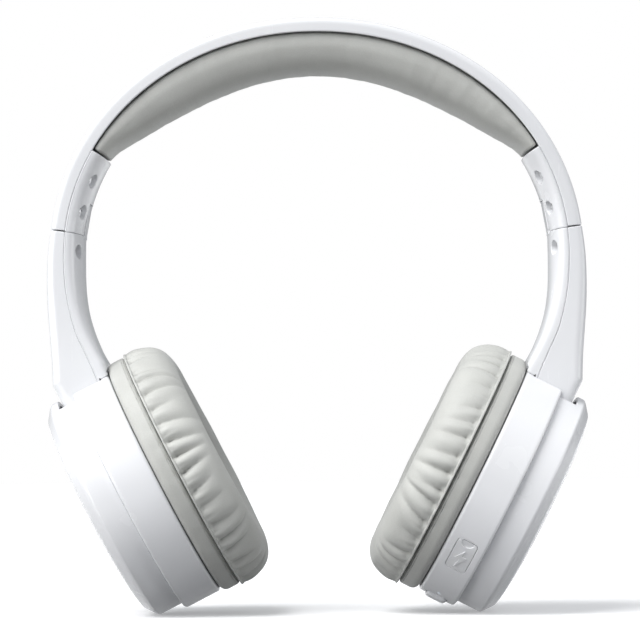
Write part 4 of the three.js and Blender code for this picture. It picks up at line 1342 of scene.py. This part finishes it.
def head_pad():
    """Firm foam in leather: swelled as cloth, tucked into the shell, creased a little under it."""
    half = PAD_SECTION + [(d, -y) for d, y in reversed(PAD_SECTION[:-1])]
    section = resample(np.array(rounded(half, 0, 1), float)[None], 34, 1, periodic=False)[0]
    back = np.stack([np.full(12, -0.05), np.linspace(-11.2, 11.2, 12)], axis=1)
    section = np.concatenate([section, back])
    clear = math.radians(0.7)
    start, end = COVER_END + clear, math.pi - COVER_END - clear
    count = 110
    depths = [Vector((i / (len(PAD_DEPTHS) - 1), d)) for i, d in enumerate(PAD_DEPTHS)]
    rows = []
    for i in range(count + 1):
        angle = lerp(start, end, i / count)
        from_cover = min(angle, math.pi - angle) - COVER_END
        share = min(1, from_cover / (math.pi / 2 - COVER_END))
        depth = spline(depths, share).y - 0.35
        wide = band_half_width(angle) / BAND_END_HALF_WIDTH
        top = SHELL_DEPTH + GAP + 0.1
        rows.append([band_point(angle, top + d * depth, y * wide * 0.985) for d, y in section])
    grid = np.array([[tuple(p) for p in row] for row in rows])
    held = np.zeros(grid.shape[:2], bool)
    held[:, -12:] = True
    held[:2] = True
    held[-2:] = True
    swollen = inflate(grid, held, 2.5, 0.3, closed=False)
    rows_in = np.minimum(np.arange(count + 1), np.arange(count + 1)[::-1])
    grid = lerp(grid, swollen, np.clip(rows_in / 14, 0, 1)[:, None, None])
    fine = resample(resample(grid, 420, 0, periodic=False), 120, 1)
    normals = grid_normals(fine)
    angle = np.linspace(start, end, len(fine))[:, None]
    middle = fine.mean(axis=1, keepdims=True)
    outwards = np.linalg.norm(fine - middle, axis=2)
    creases = ripple(5, angle * 30, (1, 1.7, 2.6, 4.1), 0.11) + ripple(8, angle * 90, (1, 1.6, 2.3), 0.05)
    along_edge = gathers(17, angle * 2, np.abs(np.abs(fine[:, :, 1]) - 12) + 0.4, 130, 0.25, 2.5)
    inward = np.clip((outwards - 3) / 3, 0, 1)
    soft = creases * inward - 0.3 * along_edge * (inward > 0)
    ends = np.clip(np.minimum(np.arange(len(fine)), np.arange(len(fine))[::-1]) / 12, 0, 1)[:, None]
    shaped = fine + normals * (soft * ends)[:, :, None]
    pad = grid_object("head_pad", shaped, closed=False)
    smooth(soften(pad, 0.5, 50), 60)
    place(pad, "soft_leather", "headband", "headband_pad", material="pad_leather")


# ---------------------------------------------------------------- carried-over CAD pieces

HIDDEN_NODES = {
    "headband_spring": "steel",
    "headband_cable": "cable_rubber",
    "headband_pad_base": "dark_plastic",
    "detent_clip": "steel",
    "baffle": "dark_plastic",
    "driver_frame": "dark_plastic",
    "driver_magnet": "steel",
    "driver_diaphragm": "clear_film",
    "circuit_board": "board",
    "battery": "battery_pouch",
}


def dress_cad_nodes():
    """The inner pieces keep their CAD meshes and get finished materials."""
    for name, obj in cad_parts.items():
        slot = HIDDEN_NODES.get(name.removesuffix("_right").removesuffix("_left"))
        if slot:
            obj.data.materials.clear()
            obj.data.materials.append(MATERIALS[slot])


# ---------------------------------------------------------------- stage


def floor_material():
    """Seamless paper, lit a little from behind as on a photographer's table."""
    n = Nodes("studio_floor")
    tone = n.mix(n.span(n.noise(400, 2), 0.3, 0.7), rgb(0.875, 0.875, 0.88), rgb(0.885, 0.885, 0.89))
    return n.done(
        Base_Color=tone,
        Roughness=0.6,
        Specular_IOR_Level=0.0,
        Emission_Color=rgb(1, 1, 1),
        Emission_Strength=0.2,
    )


def sky():
    """Even light all round, dimmer from below, in front of a white backdrop."""
    world = bpy.data.worlds.new("studio")
    bpy.context.scene.world = world
    world.use_nodes = True
    tree = world.node_tree
    lamp = tree.nodes["Background"]
    lamp.inputs["Color"].default_value = rgb(0.93, 0.96, 1.0)
    direction = tree.nodes.new("ShaderNodeTexCoord")
    axes = tree.nodes.new("ShaderNodeSeparateXYZ")
    tree.links.new(direction.outputs["Generated"], axes.inputs[0])
    rise = tree.nodes.new("ShaderNodeMapRange")
    tree.links.new(axes.outputs[2], rise.inputs["Value"])
    for name, value in (("From Min", -0.6), ("From Max", 0.5), ("To Min", 0.14), ("To Max", 0.52)):
        rise.inputs[name].default_value = value
    tree.links.new(rise.outputs[0], lamp.inputs["Strength"])
    backdrop = tree.nodes.new("ShaderNodeBackground")
    backdrop.inputs["Color"].default_value = rgb(1, 1, 1)
    path = tree.nodes.new("ShaderNodeLightPath")
    both = tree.nodes.new("ShaderNodeMixShader")
    tree.links.new(path.outputs["Is Camera Ray"], both.inputs[0])
    tree.links.new(lamp.outputs[0], both.inputs[1])
    tree.links.new(backdrop.outputs[0], both.inputs[2])
    tree.links.new(both.outputs[0], tree.nodes["World Output"].inputs[0])


def studio():
    """A pale floor, a broad soft key from the upper left, and three low, weaker fills."""
    reach = 6000
    corners = [(-reach, -reach, 0), (reach, -reach, 0), (reach, reach, 0), (-reach, reach, 0)]
    floor = new_object("floor", corners, [(0, 1, 2, 3)])
    floor.data.materials.append(floor_material())
    floor.visible_diffuse = False
    sky()
    key = bpy.data.lights.new("key", "SUN")
    key.energy = 2.7
    key.angle = math.radians(40)
    light(key, (-420, -400, 900))
    boxes = (
        ("front_fill", (-700, -700, 60), 4.0),
        ("left_fill", (-900, -220, 60), 2.5),
        ("right_fill", (900, -220, 60), 3.5),
    )
    for name, spot, power in boxes:
        box = bpy.data.lights.new(name, "AREA")
        box.size = 600 * MM
        box.energy = power
        light(box, spot)


def light(data, spot):
    """A light aimed at the middle of the object."""
    obj = bpy.data.objects.new(data.name, data)
    bpy.context.scene.collection.objects.link(obj)
    obj.location = Vector(spot) * MM
    aim = Vector((0, 0, 100)) * MM - obj.location
    obj.rotation_euler = aim.to_track_quat("-Z", "Y").to_euler()


def camera():
    """A long lens in front of the object, above the middle of the cups and rolled a little."""
    seen_width, distance, height = 209.3, 1050, 50
    target = Vector((0.9, 0, 95.6)) * MM
    roll = Quaternion((0, 0, 1), math.radians(-0.5))
    data = bpy.data.cameras.new("camera")
    data.sensor_width = 36
    data.lens = data.sensor_width * distance / seen_width
    data.clip_start = 0.05
    data.clip_end = 50
    obj = bpy.data.objects.new("camera", data)
    bpy.context.scene.collection.objects.link(obj)
    obj.location = Vector((8, -distance, height)) * MM
    aim = (target - obj.location).to_track_quat("-Z", "Y")
    obj.rotation_euler = (aim @ roll).to_euler()
    bpy.context.scene.camera = obj


# ---------------------------------------------------------------- the whole

camera()
studio()
headband_shell()
head_pad()
for side in SIDES:
    end_cover(side)
    slider(side)
    arm(side)
    tilt_pin(side)
    housing(side)
    back_cover(side)
    trim_cap(side)
    cushion_skirt(side)
    ear_cushion(side)
    scrim(side)
port_flap()
usb_port()
keys()
status_lamp()
dress_cad_nodes()
bpy.context.scene.view_settings.view_transform = "Standard"
